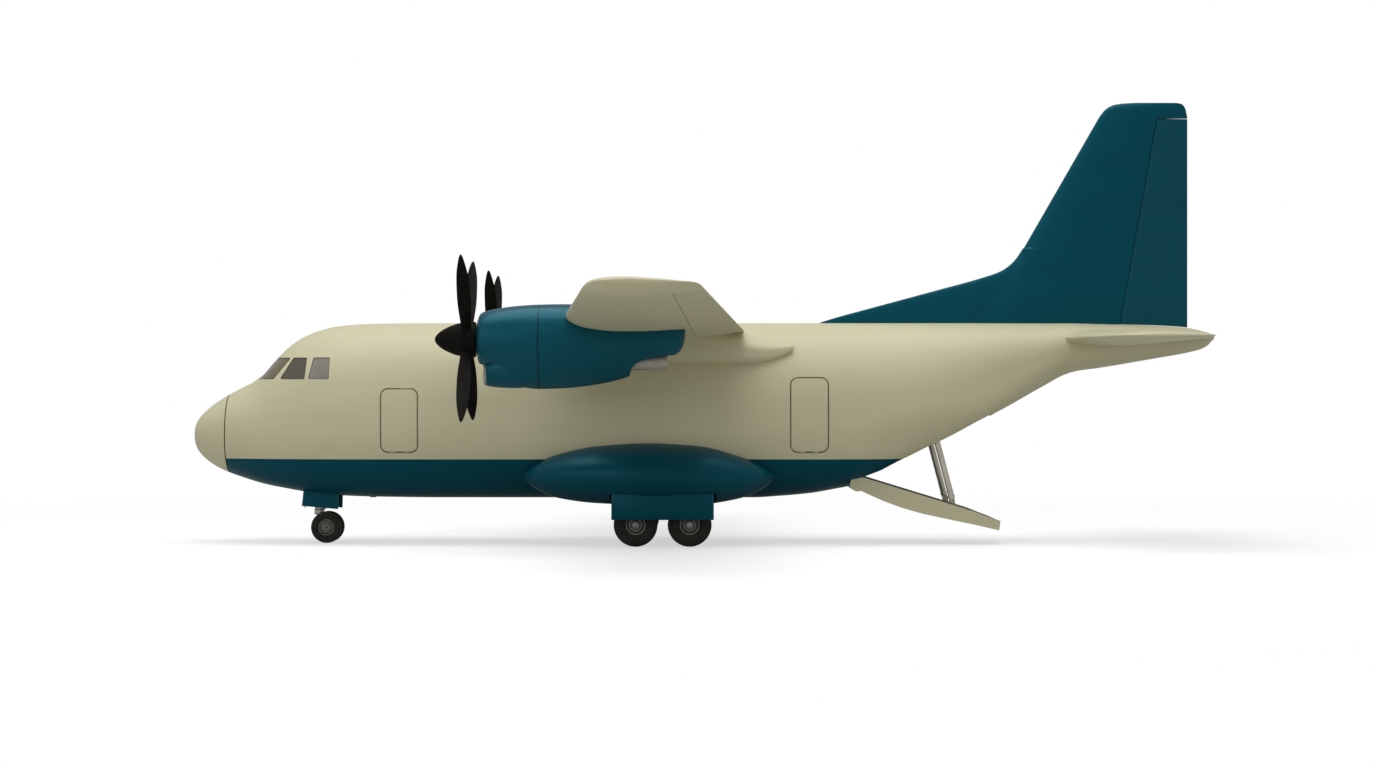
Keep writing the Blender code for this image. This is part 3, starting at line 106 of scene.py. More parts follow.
def spaced(start, end, step):
    """Even places from start to end, no further apart than the step."""
    count = max(2, int(math.ceil(abs(end - start) / step)) + 1)
    return [float(x) for x in np.linspace(start, end, count)]


# %% [markdown]
# ## Lofts, turned shapes and carving
# Three ways make nearly every piece: a loft through rings of points, a profile turned about an
# axle, and an exact Boolean that carves one closed shape with another. A cutter's faces keep
# their own place in the list of materials, 1 for inner walls and 2 for edges, so a cut edge can
# be rubber in a painted skin. Faces that would share a plane are kept a hair apart.

# %% Mesh helpers
INNER, EDGE = 1, 2
HAIR = 0.0005
FINE_HAIR = 0.0003
MERGE_WITHIN = 0.00002


def from_bmesh(name, bm, index=0):
    """An object from a bmesh, with its faces pointing outwards and in one place of the list."""
    bmesh.ops.recalc_face_normals(bm, faces=bm.faces)
    for face in bm.faces:
        face.material_index = index
    mesh = bpy.data.meshes.new(name)
    bm.to_mesh(mesh)
    bm.free()
    for _ in range(index + 1):
        mesh.materials.append(None)
    obj = bpy.data.objects.new(name, mesh)
    bpy.context.scene.collection.objects.link(obj)
    return obj


def loft(name, rings, nose=None, tail=None, index=0):
    """A closed body through rings of points, with flat ends or ends drawn to a point."""
    bm = bmesh.new()
    rows = [[bm.verts.new(point) for point in ring] for ring in rings]
    for near, far in zip(rows, rows[1:]):
        for i in range(len(near)):
            j = (i + 1) % len(near)
            bm.faces.new((near[i], near[j], far[j], far[i]))
    for row, tip in ((rows[0], nose), (rows[-1], tail)):
        if tip is None:
            bm.faces.new(row)
        else:
            point = bm.verts.new(tip)
            for i in range(len(row)):
                bm.faces.new((row[i], row[(i + 1) % len(row)], point))
    return from_bmesh(name, bm, index)


def oval(x, centre_y, mid, top, bottom, half, upper, lower, count):
    """A ring across X: two half superellipses that meet at the widest line."""
    ring = []
    for i in range(count):
        turn = 2.0 * math.pi * i / count
        across, up = math.sin(turn), math.cos(turn)
        power = 2.0 / (upper if up >= 0.0 else lower)
        reach = top - mid if up >= 0.0 else mid - bottom
        y = centre_y + half * math.copysign(abs(across) ** power, across)
        z = mid + reach * math.copysign(abs(up) ** power, up)
        ring.append(Vector((x, y, z)))
    return ring


def block(name, x0, x1, y0, y1, z0, z1, bevel=0.0, index=0):
    """A box between two corners, with its edges rounded by a bevel."""
    bm = bmesh.new()
    bmesh.ops.create_cube(bm, size=1.0)
    bmesh.ops.scale(bm, vec=(abs(x1 - x0), abs(y1 - y0), abs(z1 - z0)), verts=bm.verts)
    middle = ((x0 + x1) / 2.0, (y0 + y1) / 2.0, (z0 + z1) / 2.0)
    bmesh.ops.translate(bm, vec=middle, verts=bm.verts)
    if bevel:
        edges = bm.edges[:]
        bmesh.ops.bevel(bm, geom=edges, offset=bevel, segments=2, affect="EDGES", profile=0.5)
    return from_bmesh(name, bm, index)


def rod(name, start, end, radius, sides=32, bevel=0.0, index=0, far_radius=None):
    """A cylinder or cone between two points, with its rims rounded by a bevel."""
    start, end = Vector(start), Vector(end)
    bm = bmesh.new()
    far = radius if far_radius is None else far_radius
    length = (end - start).length
    bmesh.ops.create_cone(bm, cap_ends=True, segments=sides, radius1=radius, radius2=far, depth=length)
    if bevel:
        rims = [edge for edge in bm.edges if abs(edge.verts[0].co.z - edge.verts[1].co.z) < 1e-6]
        bmesh.ops.bevel(bm, geom=rims, offset=bevel, segments=2, affect="EDGES", profile=0.5)
    turn = (end - start).to_track_quat("Z", "Y").to_matrix().to_4x4()
    bmesh.ops.transform(bm, matrix=Matrix.Translation((start + end) / 2.0) @ turn, verts=bm.verts)
    return from_bmesh(name, bm, index)


def prism(name, outline, low, high, axis="Y", index=0):
    """A flat outline drawn out along an axis: in XZ for Y, in XY for Z, and in YZ for X."""
    spots = {
        "Y": lambda u, v, w: (u, w, v),
        "Z": lambda u, v, w: (u, v, w),
        "X": lambda u, v, w: (w, u, v),
    }
    rings = [[spots[axis](u, v, w) for u, v in outline] for w in sorted((low, high))]
    return loft(name, rings, index=index)


def box_outline(u0, u1, v0, v1):
    """The four corners of an upright rectangle."""
    return ((u0, v0), (u1, v0), (u1, v1), (u0, v1))


def rounded(outline, radius, steps=8):
    """The outline with each corner rounded by an arc."""
    result = []
    count = len(outline)
    for i in range(count):
        corner = Vector(outline[i])
        back = (Vector(outline[i - 1]) - corner).normalized()
        ahead = (Vector(outline[(i + 1) % count]) - corner).normalized()
        half = back.angle(ahead) / 2.0
        centre = corner + (back + ahead).normalized() * (radius / math.sin(half))
        start = corner + back * (radius / math.tan(half)) - centre
        end = corner + ahead * (radius / math.tan(half)) - centre
        sweep = start.angle_signed(end)
        for step in range(steps + 1):
            spoke = Matrix.Rotation(-sweep * step / steps, 2) @ start
            result.append(tuple(centre + spoke))
    return result


def spread(outline, distance):
    """The outline moved outwards on every side by a distance."""
    count = len(outline)
    points = [Vector(point) for point in outline]
    area = sum(points[i - 1].cross(points[i]) for i in range(count))
    turn = 1.0 if area > 0.0 else -1.0
    result = []
    for i in range(count):
        before = (points[i] - points[i - 1]).normalized()
        after = (points[(i + 1) % count] - points[i]).normalized()
        out_before = Vector((before.y, -before.x)) * turn
        out_after = Vector((after.y, -after.x)) * turn
        middle = (out_before + out_after).normalized()
        result.append(tuple(points[i] + middle * (distance / middle.dot(out_before))))
    return result


def turned(name, profile, centre, axis=(0, 1, 0), steps=64, ring=False, index=0):
    """A turned body from a profile of (along the axis, radius) points, closed to a ring if asked."""
    bm = bmesh.new()
    rows = [bm.verts.new((radius, 0.0, along)) for along, radius in profile]
    edges = [bm.edges.new(pair) for pair in zip(rows, rows[1:])]
    if ring:
        edges.append(bm.edges.new((rows[-1], rows[0])))
    bmesh.ops.spin(
        bm,
        geom=rows + edges,
        cent=(0.0, 0.0, 0.0),
        axis=(0.0, 0.0, 1.0),
        angle=2.0 * math.pi,
        steps=steps,
        use_merge=True,
    )
    bmesh.ops.remove_doubles(bm, verts=bm.verts, dist=MERGE_WITHIN)
    bmesh.ops.dissolve_degenerate(bm, dist=MERGE_WITHIN, edges=bm.edges)
    turn = Vector(axis).to_track_quat("Z", "Y").to_matrix().to_4x4()
    bmesh.ops.transform(bm, matrix=Matrix.Translation(centre) @ turn, verts=bm.verts)
    return from_bmesh(name, bm, index)


def settled(obj):
    """The object with its modifiers turned into plain mesh."""
    graph = bpy.context.evaluated_depsgraph_get()
    mesh = bpy.data.meshes.new_from_object(obj.evaluated_get(graph))
    obj.modifiers.clear()
    obj.data = mesh
    return obj


def discard(*objs):
    """Remove helpers that have done their work."""
    for obj in objs:
        bpy.data.objects.remove(obj, do_unlink=True)


def gather(first, *others, name=None):
    """Several shapes as one object, each keeping its places in the list of materials."""
    bm = bmesh.new()
    most = 1
    for obj in (first, *others):
        bm.from_mesh(obj.data)
        most = max(most, len(obj.data.materials))
    bm.to_mesh(first.data)
    bm.free()
    while len(first.data.materials) < most:
        first.data.materials.append(None)
    discard(*others)
    if name:
        first.name = name
    return first


def carve(obj, operation, *others):
    """Difference, union or intersect with each other shape in turn, and drop those shapes."""
    for other in others:
        while len(obj.data.materials) < len(other.data.materials):
            obj.data.materials.append(None)
        modifier = obj.modifiers.new(other.name, "BOOLEAN")
        modifier.operation = operation
        modifier.solver = "EXACT"
        modifier.object = other
        settled(obj)
    discard(*others)
    return obj


def cut(obj, *others):
    """Take other shapes out of an object."""
    return carve(obj, "DIFFERENCE", *others)


def weld(obj, *others):
    """Join other shapes to an object as one closed surface."""
    return carve(obj, "UNION", *others)


def common(obj, *others):
    """Keep only what an object shares with other shapes."""
    return carve(obj, "INTERSECT", *others)


def show(obj, body, materials, replaces=(), degrees=30.0, even=False):
    """Finish a piece: its materials, its body, and the nodes that it stands for."""
    mesh = obj.data
    listed = materials if isinstance(materials, (list, tuple)) else [materials]
    while len(mesh.materials) < len(listed):
        mesh.materials.append(None)
    for i in range(len(mesh.materials)):
        mesh.materials[i] = listed[min(i, len(listed) - 1)]
    mesh.shade_smooth()
    mesh.set_sharp_from_angle(angle=math.radians(degrees))
    if even:
        modifier = obj.modifiers.new("even_shading", "WEIGHTED_NORMAL")
        modifier.keep_sharp = True
        modifier.weight = 100
        settled(obj)
    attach(obj, body)
    if replaces:
        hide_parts(*replaces)
    print(f"{obj.name}: {len(obj.data.polygons)} faces on {body}")
    return obj


def both_sides(build, *details):
    """Run a builder for the left side, then for the right side."""
    for side_name, side in SIDES:
        build(*details, side_name, side)


# %% [markdown]
# ## Materials: a short way to wire nodes
# Every finish reads Object coordinates, so its grain stays on the piece when the piece moves. A
# number that is the same all over sits on the shader itself. These helpers add the noise, ramps
# and bumps that each finish needs. Noise seldom leaves the middle half of its range, so that
# half is what gets stretched to a finish's two ends.

# %% Node helpers
NOISE_SPAN = (0.25, 0.75)
EVEN = (1.0, 1.0, 1.0)
FLOWING = (0.3, 1.0, 1.0)


class Finish:
    """A material whose nodes are added one at a time."""

    def __init__(self, name, sockets):
        self.material = bpy.data.materials.new(name)
        self.material.use_nodes = True
        self.nodes = self.material.node_tree.nodes
        self.links = self.material.node_tree.links
        self.shader = self.nodes["Principled BSDF"]
        for socket, value in sockets.items():
            self.shader.inputs[socket].default_value = value
        self.place = self.nodes.new("ShaderNodeTexCoord").outputs["Object"]
        self.split = None

    def axis(self, letter):
        """One of the three Object coordinates."""
        if self.split is None:
            self.split = self.nodes.new("ShaderNodeSeparateXYZ")
            self.links.new(self.place, self.split.inputs[0])
        return self.split.outputs[letter]

    def math(self, operation, first, second=0.0, clamp=False):
        """A sum on values or on other nodes' outputs."""
        node = self.nodes.new("ShaderNodeMath")
        node.operation = operation
        node.use_clamp = clamp
        for socket, value in zip(node.inputs, (first, second)):
            if isinstance(value, (int, float)):
                socket.default_value = value
            else:
                self.links.new(value, socket)
        return node.outputs[0]

    def noise(self, scale, detail=3.0, stretch=EVEN):
        """Cloudy noise, about one blob for each 1/scale of a metre, stretched along an axis."""
        mapping = self.nodes.new("ShaderNodeMapping")
        mapping.inputs["Scale"].default_value = stretch
        self.links.new(self.place, mapping.inputs["Vector"])
        node = self.nodes.new("ShaderNodeTexNoise")
        node.inputs["Scale"].default_value = scale
        node.inputs["Detail"].default_value = detail
        self.links.new(mapping.outputs[0], node.inputs["Vector"])
        return node.outputs["Fac"]

    def ramp(self, value, stops):
        """Colours for a value from stops of (place, colour)."""
        node = self.nodes.new("ShaderNodeValToRGB")
        while len(node.color_ramp.elements) < len(stops):
            node.color_ramp.elements.new(0.5)
        for element, (place, colour) in zip(node.color_ramp.elements, stops):
            element.position = place
            element.color = (*colour, 1.0)
        self.links.new(value, node.inputs[0])
        return node.outputs[0]

    def mix(self, factor, first, second, blend="MIX"):
        """Two colours mixed by a value."""
        node = self.nodes.new("ShaderNodeMix")
        node.data_type = "RGBA"
        node.blend_type = blend
        for name, value in (("Factor_Float", factor), ("A_Color", first), ("B_Color", second)):
            socket = next(item for item in node.inputs if item.identifier == name)
            if isinstance(value, (int, float)):
                socket.default_value = value
            elif isinstance(value, tuple):
                socket.default_value = (*value, 1.0)
            else:
                self.links.new(value, socket)
        return next(item for item in node.outputs if item.identifier == "Result_Color")

    def spread_values(self, value, low, high):
        """A value from 0 to 1 moved to run from low to high."""
        node = self.nodes.new("ShaderNodeMapRange")
        sockets = ("From Min", "From Max", "To Min", "To Max")
        for socket, number in zip(sockets, (*NOISE_SPAN, low, high)):
            node.inputs[socket].default_value = number
        self.links.new(value, node.inputs["Value"])
        return node.outputs[0]

    def patches(self, scale, detail, low=0.0, high=1.0, stretch=EVEN):
        """Cloudy noise that runs from low to high."""
        return self.spread_values(self.noise(scale, detail, stretch), low, high)

    def line_at(self, letter, place, half, soft=0.002):
        """1 on a thin line across one coordinate and 0 away from it."""
        away = self.math("ABSOLUTE", self.math("SUBTRACT", self.axis(letter), place))
        past = self.math("DIVIDE", self.math("SUBTRACT", away, half), soft)
        return self.math("SUBTRACT", 1.0, past, True)

    def bump(self, height, strength, distance, below=None):
        """A bump from a height, on top of another bump if one is given."""
        node = self.nodes.new("ShaderNodeBump")
        node.inputs["Strength"].default_value = strength
        node.inputs["Distance"].default_value = distance
        self.links.new(height, node.inputs["Height"])
        if below is not None:
            self.links.new(below, node.inputs["Normal"])
        return node.outputs[0]

    def grain(self, scale, detail, strength, distance):
        """A fine bump from noise."""
        return self.bump(self.noise(scale, detail), strength, distance)

    def colour(self, value):
        """Send a colour to the shader."""
        self.links.new(value, self.shader.inputs["Base Color"])

    def rough(self, value):
        """Send a roughness to the shader."""
        self.links.new(value, self.shader.inputs["Roughness"])

    def sheen_tint(self, value):
        """Send a colour for its reflections to the shader."""
        self.links.new(value, self.shader.inputs["Specular Tint"])

    def normal(self, value):
        """Send a bumped normal to the shader."""
        self.links.new(value, self.shader.inputs["Normal"])


# %% [markdown]
# ## The skin's two paints
# Satin aircraft paint looks even from afar. Close up it has a faint orange-peel ripple, soft
# clouds in its sheen, and streaks of grime that run back along the air flow. The seams between
# skin panels and their rows of rivets are only bumps, so they show in a glancing light and
# nowhere else. The hull is beige above and teal below one level line.

# %% Skin paint
CREAM = (0.66, 0.628, 0.43)
CREAM_DULL = (0.59, 0.557, 0.37)
TEAL = (0.001, 0.066, 0.101)
TEAL_DULL = (0.001, 0.051, 0.077)
TEAL_GLINT = (0.22, 0.80, 1.0)
WHITE = (1.0, 1.0, 1.0)
SEAM_SHADE = (0.003, 0.010, 0.014)
CREAM_POLISH, TEAL_POLISH, POLISH_SPREAD = 0.36, 0.30, 0.10
WATERLINE = 2.12
RADOME_SEAM = -11.86
COWL_SEAM, COWL_SEAM_HALF = -3.91, 0.016
PANEL_PITCH = 1.25
RIVET_PITCH = 0.05
RIVET_ROW = 0.03
RIVET_RISE = 0.35
SEAM_HALF = 0.002
RIVET_HALF = 0.006


def seams_and_rivets(finish, letters):
    """A height that dips at panel seams and rises at rivets, along the two given coordinates."""
    along, across = (finish.axis(letter) for letter in letters)
    wrapped = finish.math("PINGPONG", along, PANEL_PITCH / 2.0)
    seam = finish.math("LESS_THAN", wrapped, SEAM_HALF)
    from_row = finish.math("ABSOLUTE", finish.math("SUBTRACT", wrapped, RIVET_ROW))
    row = finish.math("LESS_THAN", from_row, RIVET_HALF)
    dots = finish.math("LESS_THAN", finish.math("PINGPONG", across, RIVET_PITCH / 2.0), RIVET_HALF)
    rivets = finish.math("MULTIPLY", row, dots)
    return finish.math("SUBTRACT", finish.math("MULTIPLY", rivets, RIVET_RISE), seam)


def skin_paint(name, clean, dull, letters=("X", "Z"), two_tone=False, seam=None, gloss=0.3, glint=WHITE):
    """Satin paint with clouds, streaks, orange peel, seams and rivets."""
    finish = Finish(name, {"Roughness": 0.4, "Specular IOR Level": gloss, "Specular Tint": (*glint, 1.0)})
    clouds = finish.noise(0.35, 4.0)
    streaks = finish.noise(1.6, 3.0, (0.12, 1.0, 1.0))
    wear = finish.math("MULTIPLY", finish.math("ADD", clouds, streaks), 0.5)
    wear = finish.spread_values(wear, 0.0, 1.0)
    colour = finish.mix(wear, dull, clean)
    if two_tone:
        lower = finish.mix(wear, TEAL_DULL, TEAL)
        below = finish.math("LESS_THAN", finish.axis("Z"), WATERLINE)
        aft = finish.math("GREATER_THAN", finish.axis("X"), RADOME_SEAM)
        lower_part = finish.math("MULTIPLY", below, aft)
        colour = finish.mix(lower_part, colour, lower)
        finish.sheen_tint(finish.mix(lower_part, WHITE, TEAL_GLINT))
    if seam is not None:
        colour = finish.mix(finish.line_at("X", seam, COWL_SEAM_HALF), colour, SEAM_SHADE)
    finish.colour(colour)
    polish = TEAL_POLISH if glint == TEAL_GLINT else CREAM_POLISH
    finish.rough(finish.patches(2.2, 3.0, polish, polish + POLISH_SPREAD))
    peel = finish.grain(160.0, 1.0, 0.05, 0.001)
    finish.normal(finish.bump(seams_and_rivets(finish, letters), 0.12, 0.001, peel))
    return finish.material


def teal_skin(name, gloss, clean=TEAL, dull=TEAL_DULL, seam=None):
    """Skin paint in a teal, with its reflections tinted the same way."""
    return skin_paint(name, clean, dull, seam=seam, gloss=gloss, glint=TEAL_GLINT)


hull_paint = skin_paint("hull_paint", CREAM, CREAM_DULL, two_tone=True, gloss=0.2)
cream_paint = skin_paint("cream_paint", CREAM, CREAM_DULL)
wing_paint = skin_paint("wing_paint", CREAM, CREAM_DULL, ("Y", "X"))
teal_paint = teal_skin("teal_paint", 0.35)
cowl_paint = teal_skin("cowl_paint", 0.52, seam=COWL_SEAM)
fin_paint = teal_skin("fin_paint", 0.25, (0.002, 0.072, 0.110), (0.002, 0.058, 0.088))
rudder_paint = teal_skin("rudder_paint", 0.25, (0.006, 0.078, 0.113), (0.006, 0.062, 0.090))
# A lighter teal, used only on the main gear doors' edge strips as a painted highlight.
edge_highlight_paint = teal_skin("edge_highlight_paint", 0.2, (0.022, 0.135, 0.180), (0.018, 0.110, 0.150))
print("skin paints: 8")

# %% [markdown]
# ## Linings, rubber and glass
# Behind a cut edge is the cabin's pale lining, and every door and pane sits in a brown rubber
# seal. The panes are smoked: mostly dark, with a clear gloss, and a little of the flight deck
# showing through.

# %% Lining, rubber, glass
PANE_SILL = 4.08
POST_LEAN = 0.632
SECOND_POST, THIRD_POST = -10.51, -9.775


def lining_finish(name, colour, quilt):
    """A quilted lining: pads between stitched lines, with a fine cloth grain."""
    finish = Finish(name, {"Roughness": 0.85, "Specular IOR Level": 0.25})
    finish.colour(finish.mix(finish.patches(1.3, 4.0), tuple(c * 0.82 for c in colour), colour))
    pads = []
    for letter in ("X", "Z"):
        wave = finish.math("SINE", finish.math("MULTIPLY", finish.axis(letter), math.pi / quilt))
        pads.append(finish.math("ABSOLUTE", wave))
    height = finish.math("POWER", finish.math("MULTIPLY", *pads), 0.4)
    finish.normal(finish.bump(height, 0.5, 0.012, finish.grain(500.0, 1.0, 0.12, 0.001)))
    return finish.material


def rubber_finish(name, colour, grain=300.0):
    """Matt rubber with dust in patches and a fine pitted grain."""
    finish = Finish(name, {"Roughness": 0.8, "Specular IOR Level": 0.3})
    dusty = tuple(c * 1.6 + 0.006 for c in colour)
    finish.colour(finish.mix(finish.patches(5.0, 5.0), colour, dusty))
    finish.rough(finish.patches(9.0, 3.0, 0.72, 0.9))
    finish.normal(finish.grain(grain, 2.0, 0.25, 0.001))
    return finish.material


def glass_finish(name):
    """Smoked glass: the front pane browner and the rear pane lighter, with a faint haze of dust."""
    sockets = {"Roughness": 0.05, "Specular IOR Level": 0.5, "IOR": 1.5, "Transmission Weight": 0.1}
    finish = Finish(name, sockets)
    lean = finish.math("MULTIPLY", finish.math("SUBTRACT", finish.axis("Z"), PANE_SILL), POST_LEAN)
    upright = finish.math("SUBTRACT", finish.axis("X"), lean)
    behind_post = finish.math("GREATER_THAN", upright, SECOND_POST)
    rearmost = finish.math("GREATER_THAN", finish.axis("X"), THIRD_POST)
    tint = finish.mix(behind_post, (0.19, 0.165, 0.105), (0.13, 0.12, 0.095))
    tint = finish.mix(rearmost, tint, (0.34, 0.32, 0.28))
    finish.colour(finish.mix(finish.patches(1.1, 3.0, 0.0, 0.3), tint, (0.03, 0.028, 0.022)))
    finish.rough(finish.patches(14.0, 2.0, 0.04, 0.1))
    finish.normal(finish.grain(0.8, 1.0, 0.02, 0.01))
    return finish.material


lining = lining_finish("hold_lining", (0.34, 0.35, 0.33), 0.24)
seal_rubber = rubber_finish("seal_rubber", (0.145, 0.115, 0.055))
tyre_rubber = rubber_finish("tyre_rubber", (0.018, 0.017, 0.014), 220.0)
dark_rubber = rubber_finish("dark_rubber", (0.02, 0.019, 0.018))
rail_rubber = rubber_finish("rail_rubber", (0.055, 0.047, 0.033))
lug_rubber = rubber_finish("lug_rubber", (0.10, 0.10, 0.09), 220.0)
smoked_glass = glass_finish("smoked_glass")
print("lining, five rubbers, glass")

# %% [markdown]
# ## Metals and the propellers' black
# Gear legs and struts are ground metal: fine scratches along the part and patches of dull oxide.
# The jet pipes are heat-stained, straw to grey. The blades are satin black, with bright scuffs
# only in their sheen.

# %% Metals
ALONG_X, ALONG_Y, ALONG_Z = (0.1, 1.0, 1.0), (1.0, 0.1, 1.0), (1.0, 1.0, 0.05)
STAIN_START, STAIN_RATE = -1.9, 0.8
STRAW, PALE_STAIN, GREY_STAIN = (0.48, 0.45, 0.39), (0.58, 0.55, 0.50), (0.52, 0.50, 0.46)


def metal_finish(name, light, dark, stretch, rough=(0.28, 0.48), metallic=0.9):
    """Ground metal with oxide clouds and scratches stretched along one axis."""
    finish = Finish(name, {"Metallic": metallic, "Specular IOR Level": 0.5})
    oxide = finish.patches(3.5, 5.0)
    scratches = finish.noise(60.0, 2.0, stretch)
    finish.colour(finish.mix(oxide, dark, light))
    finish.rough(finish.spread_values(finish.math("MULTIPLY", oxide, scratches), *rough))
    finish.normal(finish.bump(scratches, 0.12, 0.001))
    return finish.material


def heat_finish(name):
    """Steel stained by exhaust heat, from straw near the cowl to grey at the mouth."""
    finish = Finish(name, {"Metallic": 0.5, "Specular IOR Level": 0.5})
    past_cowl = finish.math("SUBTRACT", finish.axis("X"), STAIN_START)
    along = finish.math("MULTIPLY", past_cowl, STAIN_RATE, True)
    stain = finish.ramp(along, ((0.0, STRAW), (0.55, PALE_STAIN), (1.0, GREY_STAIN)))
    finish.colour(finish.mix(finish.patches(7.0, 5.0, stretch=FLOWING), stain, (0.36, 0.34, 0.31)))
    finish.rough(finish.patches(12.0, 3.0, 0.4, 0.62))
    finish.normal(finish.grain(90.0, 2.0, 0.15, 0.001))
    return finish.material


def blade_finish(name):
    """Satin black with clouds of wear in its sheen."""
    finish = Finish(name, {"Specular IOR Level": 0.03})
    finish.colour(finish.mix(finish.patches(6.0, 5.0), (0.006, 0.0055, 0.0045), (0.012, 0.011, 0.009)))
    finish.rough(finish.patches(18.0, 4.0, 0.36, 0.5))
    finish.normal(finish.grain(260.0, 1.0, 0.08, 0.001))
    return finish.material


def deck_finish(name, colour):
    """Non-slip floor paint: a coarse grit with worn, paler tracks."""
    finish = Finish(name, {"Specular IOR Level": 0.35})
    paler = tuple(min(1.0, c * 1.45) for c in colour)
    finish.colour(finish.mix(finish.patches(1.4, 5.0, stretch=FLOWING), colour, paler))
    finish.rough(finish.patches(30.0, 3.0, 0.6, 0.85))
    finish.normal(finish.grain(340.0, 1.0, 0.35, 0.0015))
    return finish.material


gear_metal = metal_finish("gear_metal", (0.50, 0.49, 0.48), (0.33, 0.32, 0.31), ALONG_Z)
strut_metal = metal_finish("strut_metal", (0.80, 0.77, 0.66), (0.60, 0.57, 0.48), ALONG_Z, (0.25, 0.4), 0.5)
rim_metal = metal_finish("rim_metal", (0.30, 0.29, 0.27), (0.19, 0.185, 0.17), ALONG_Y, (0.35, 0.55), 0.5)
rim_dark = metal_finish("rim_dark", (0.10, 0.098, 0.090), (0.055, 0.055, 0.05), ALONG_Y, (0.4, 0.6), 0.4)
rim_bright = metal_finish("rim_bright", (0.70, 0.68, 0.62), (0.48, 0.47, 0.43), ALONG_Y, (0.35, 0.5), 0.4)
lip_metal = metal_finish("lip_metal", (0.42, 0.42, 0.42), (0.30, 0.30, 0.30), ALONG_X)
exhaust_metal = heat_finish("exhaust_metal")
blade_black = blade_finish("blade_black")
deck_grey = deck_finish("deck_grey", (0.16, 0.165, 0.165))
dark_duct = metal_finish("dark_duct", (0.05, 0.05, 0.05), (0.025, 0.025, 0.025), ALONG_X, (0.5, 0.7), 0.3)
print("metals, black, deck")

# %% [markdown]
# ## Geometry Nodes for what repeats
# Bolts, screws, cleats and tread lugs are one small shape put at many points. Each point is a
# vertex that carries the direction its shape faces, so one tree serves them all: its inputs are
# the sizes, and it ends with real mesh because linked copies don't survive the export.

# %% Tree helpers
WASHER, HEAD = (16, 1.0, 0.5), (6, 0.72, 2.0)
FIRST_BLADE = math.pi / 4.0


def new_tree(name, **inputs):
    """An empty tree with named inputs, a finish and a geometry output."""
    tree = bpy.data.node_groups.new(name, "GeometryNodeTree")
    for label, kind in (("Geometry", "Geometry"), *inputs.items(), ("Finish", "Material")):
        tree.interface.new_socket(label, in_out="INPUT", socket_type=f"NodeSocket{kind}")
    tree.interface.new_socket("Geometry", in_out="OUTPUT", socket_type="NodeSocketGeometry")
    return tree, tree.nodes.new("NodeGroupInput").outputs, tree.nodes.new("NodeGroupOutput").inputs


def add(tree, kind, values, **settings):
    """The outputs of a new node that has its settings, and its inputs set or linked."""
    node = tree.nodes.new(kind)
    for key, setting in settings.items():
        setattr(node, key, setting)
    for socket, value in values.items():
        if isinstance(value, bpy.types.NodeSocket):
            tree.links.new(value, node.inputs[socket])
        else:
            node.inputs[socket].default_value = value
    return node.outputs


def run_tree(obj, tree, values):
    """Run a tree on an object with its inputs set by identifier, and keep the plain mesh."""
    modifier = obj.modifiers.new(tree.name, "NODES")
    modifier.node_group = tree
    for item in tree.interface.items_tree:
        if item.in_out == "INPUT" and item.name in values:
            modifier[item.identifier] = values[item.name]
    return settled(obj)


def end_tree(tree, given, result, geometry):
    """Close a tree: real mesh, one finish, and the output."""
    real = add(tree, "GeometryNodeRealizeInstances", {"Geometry": geometry})
    coat = add(tree, "GeometryNodeSetMaterial", {"Geometry": real[0], "Material": given["Finish"]})
    tree.links.new(coat[0], result["Geometry"])
    return tree


def facing_points(tree, given, shape):
    """Put a shape on every point, turned so that its Z follows the point's facing."""
    facing = add(tree, "GeometryNodeInputNamedAttribute", {"Name": "facing"}, data_type="FLOAT_VECTOR")
    align = add(tree, "FunctionNodeAlignRotationToVector", {"Vector": facing["Attribute"]}, axis="Z")
    values = {"Points": given["Geometry"], "Instance": shape, "Rotation": align["Rotation"]}
    return add(tree, "GeometryNodeInstanceOnPoints", values)[0]


def bolt_tree():
    """A hexagon head on a round washer at each point."""
    tree, given, result = new_tree("bolts", Radius="Float", Height="Float")
    join = tree.nodes.new("GeometryNodeJoinGeometry")
    for sides, wide, tall in (WASHER, HEAD):
        radius = add(tree, "ShaderNodeMath", {0: given["Radius"], 1: wide}, operation="MULTIPLY")
        depth = add(tree, "ShaderNodeMath", {0: given["Height"], 1: tall}, operation="MULTIPLY")
        values = {"Vertices": sides, "Radius": radius[0], "Depth": depth[0]}
        part = add(tree, "GeometryNodeMeshCylinder", values)
        tree.links.new(part["Mesh"], join.inputs["Geometry"])
    return end_tree(tree, given, result, facing_points(tree, given, join.outputs[0]))


def lug_tree():
    """A small block at each point, for tread lugs and ramp cleats."""
    tree, given, result = new_tree("lugs", Size="Vector")
    part = add(tree, "GeometryNodeMeshCube", {"Size": given["Size"]})
    return end_tree(tree, given, result, facing_points(tree, given, part["Mesh"]))


def turn_tree():
    """Copies of the incoming mesh, spaced evenly round the X axis and moved to a centre."""
    tree, given, result = new_tree("blades", Count="Int", Centre="Vector")
    points = add(tree, "GeometryNodePoints", {"Count": given["Count"]})
    index = add(tree, "GeometryNodeInputIndex", {})
    share = add(tree, "ShaderNodeMath", {0: index[0], 1: given["Count"]}, operation="DIVIDE")
    turn = {0: share[0], 1: 2.0 * math.pi, 2: FIRST_BLADE}
    angle = add(tree, "ShaderNodeMath", turn, operation="MULTIPLY_ADD")
    spin = add(tree, "ShaderNodeCombineXYZ", {"X": angle[0]})
    values = {"Points": points[0], "Instance": given["Geometry"], "Rotation": spin[0]}
    put = add(tree, "GeometryNodeInstanceOnPoints", values)
    move = add(tree, "GeometryNodeTransform", {"Geometry": put[0], "Translation": given["Centre"]})
    return end_tree(tree, given, result, move[0])


BOLTS, LUGS, BLADES = bolt_tree(), lug_tree(), turn_tree()


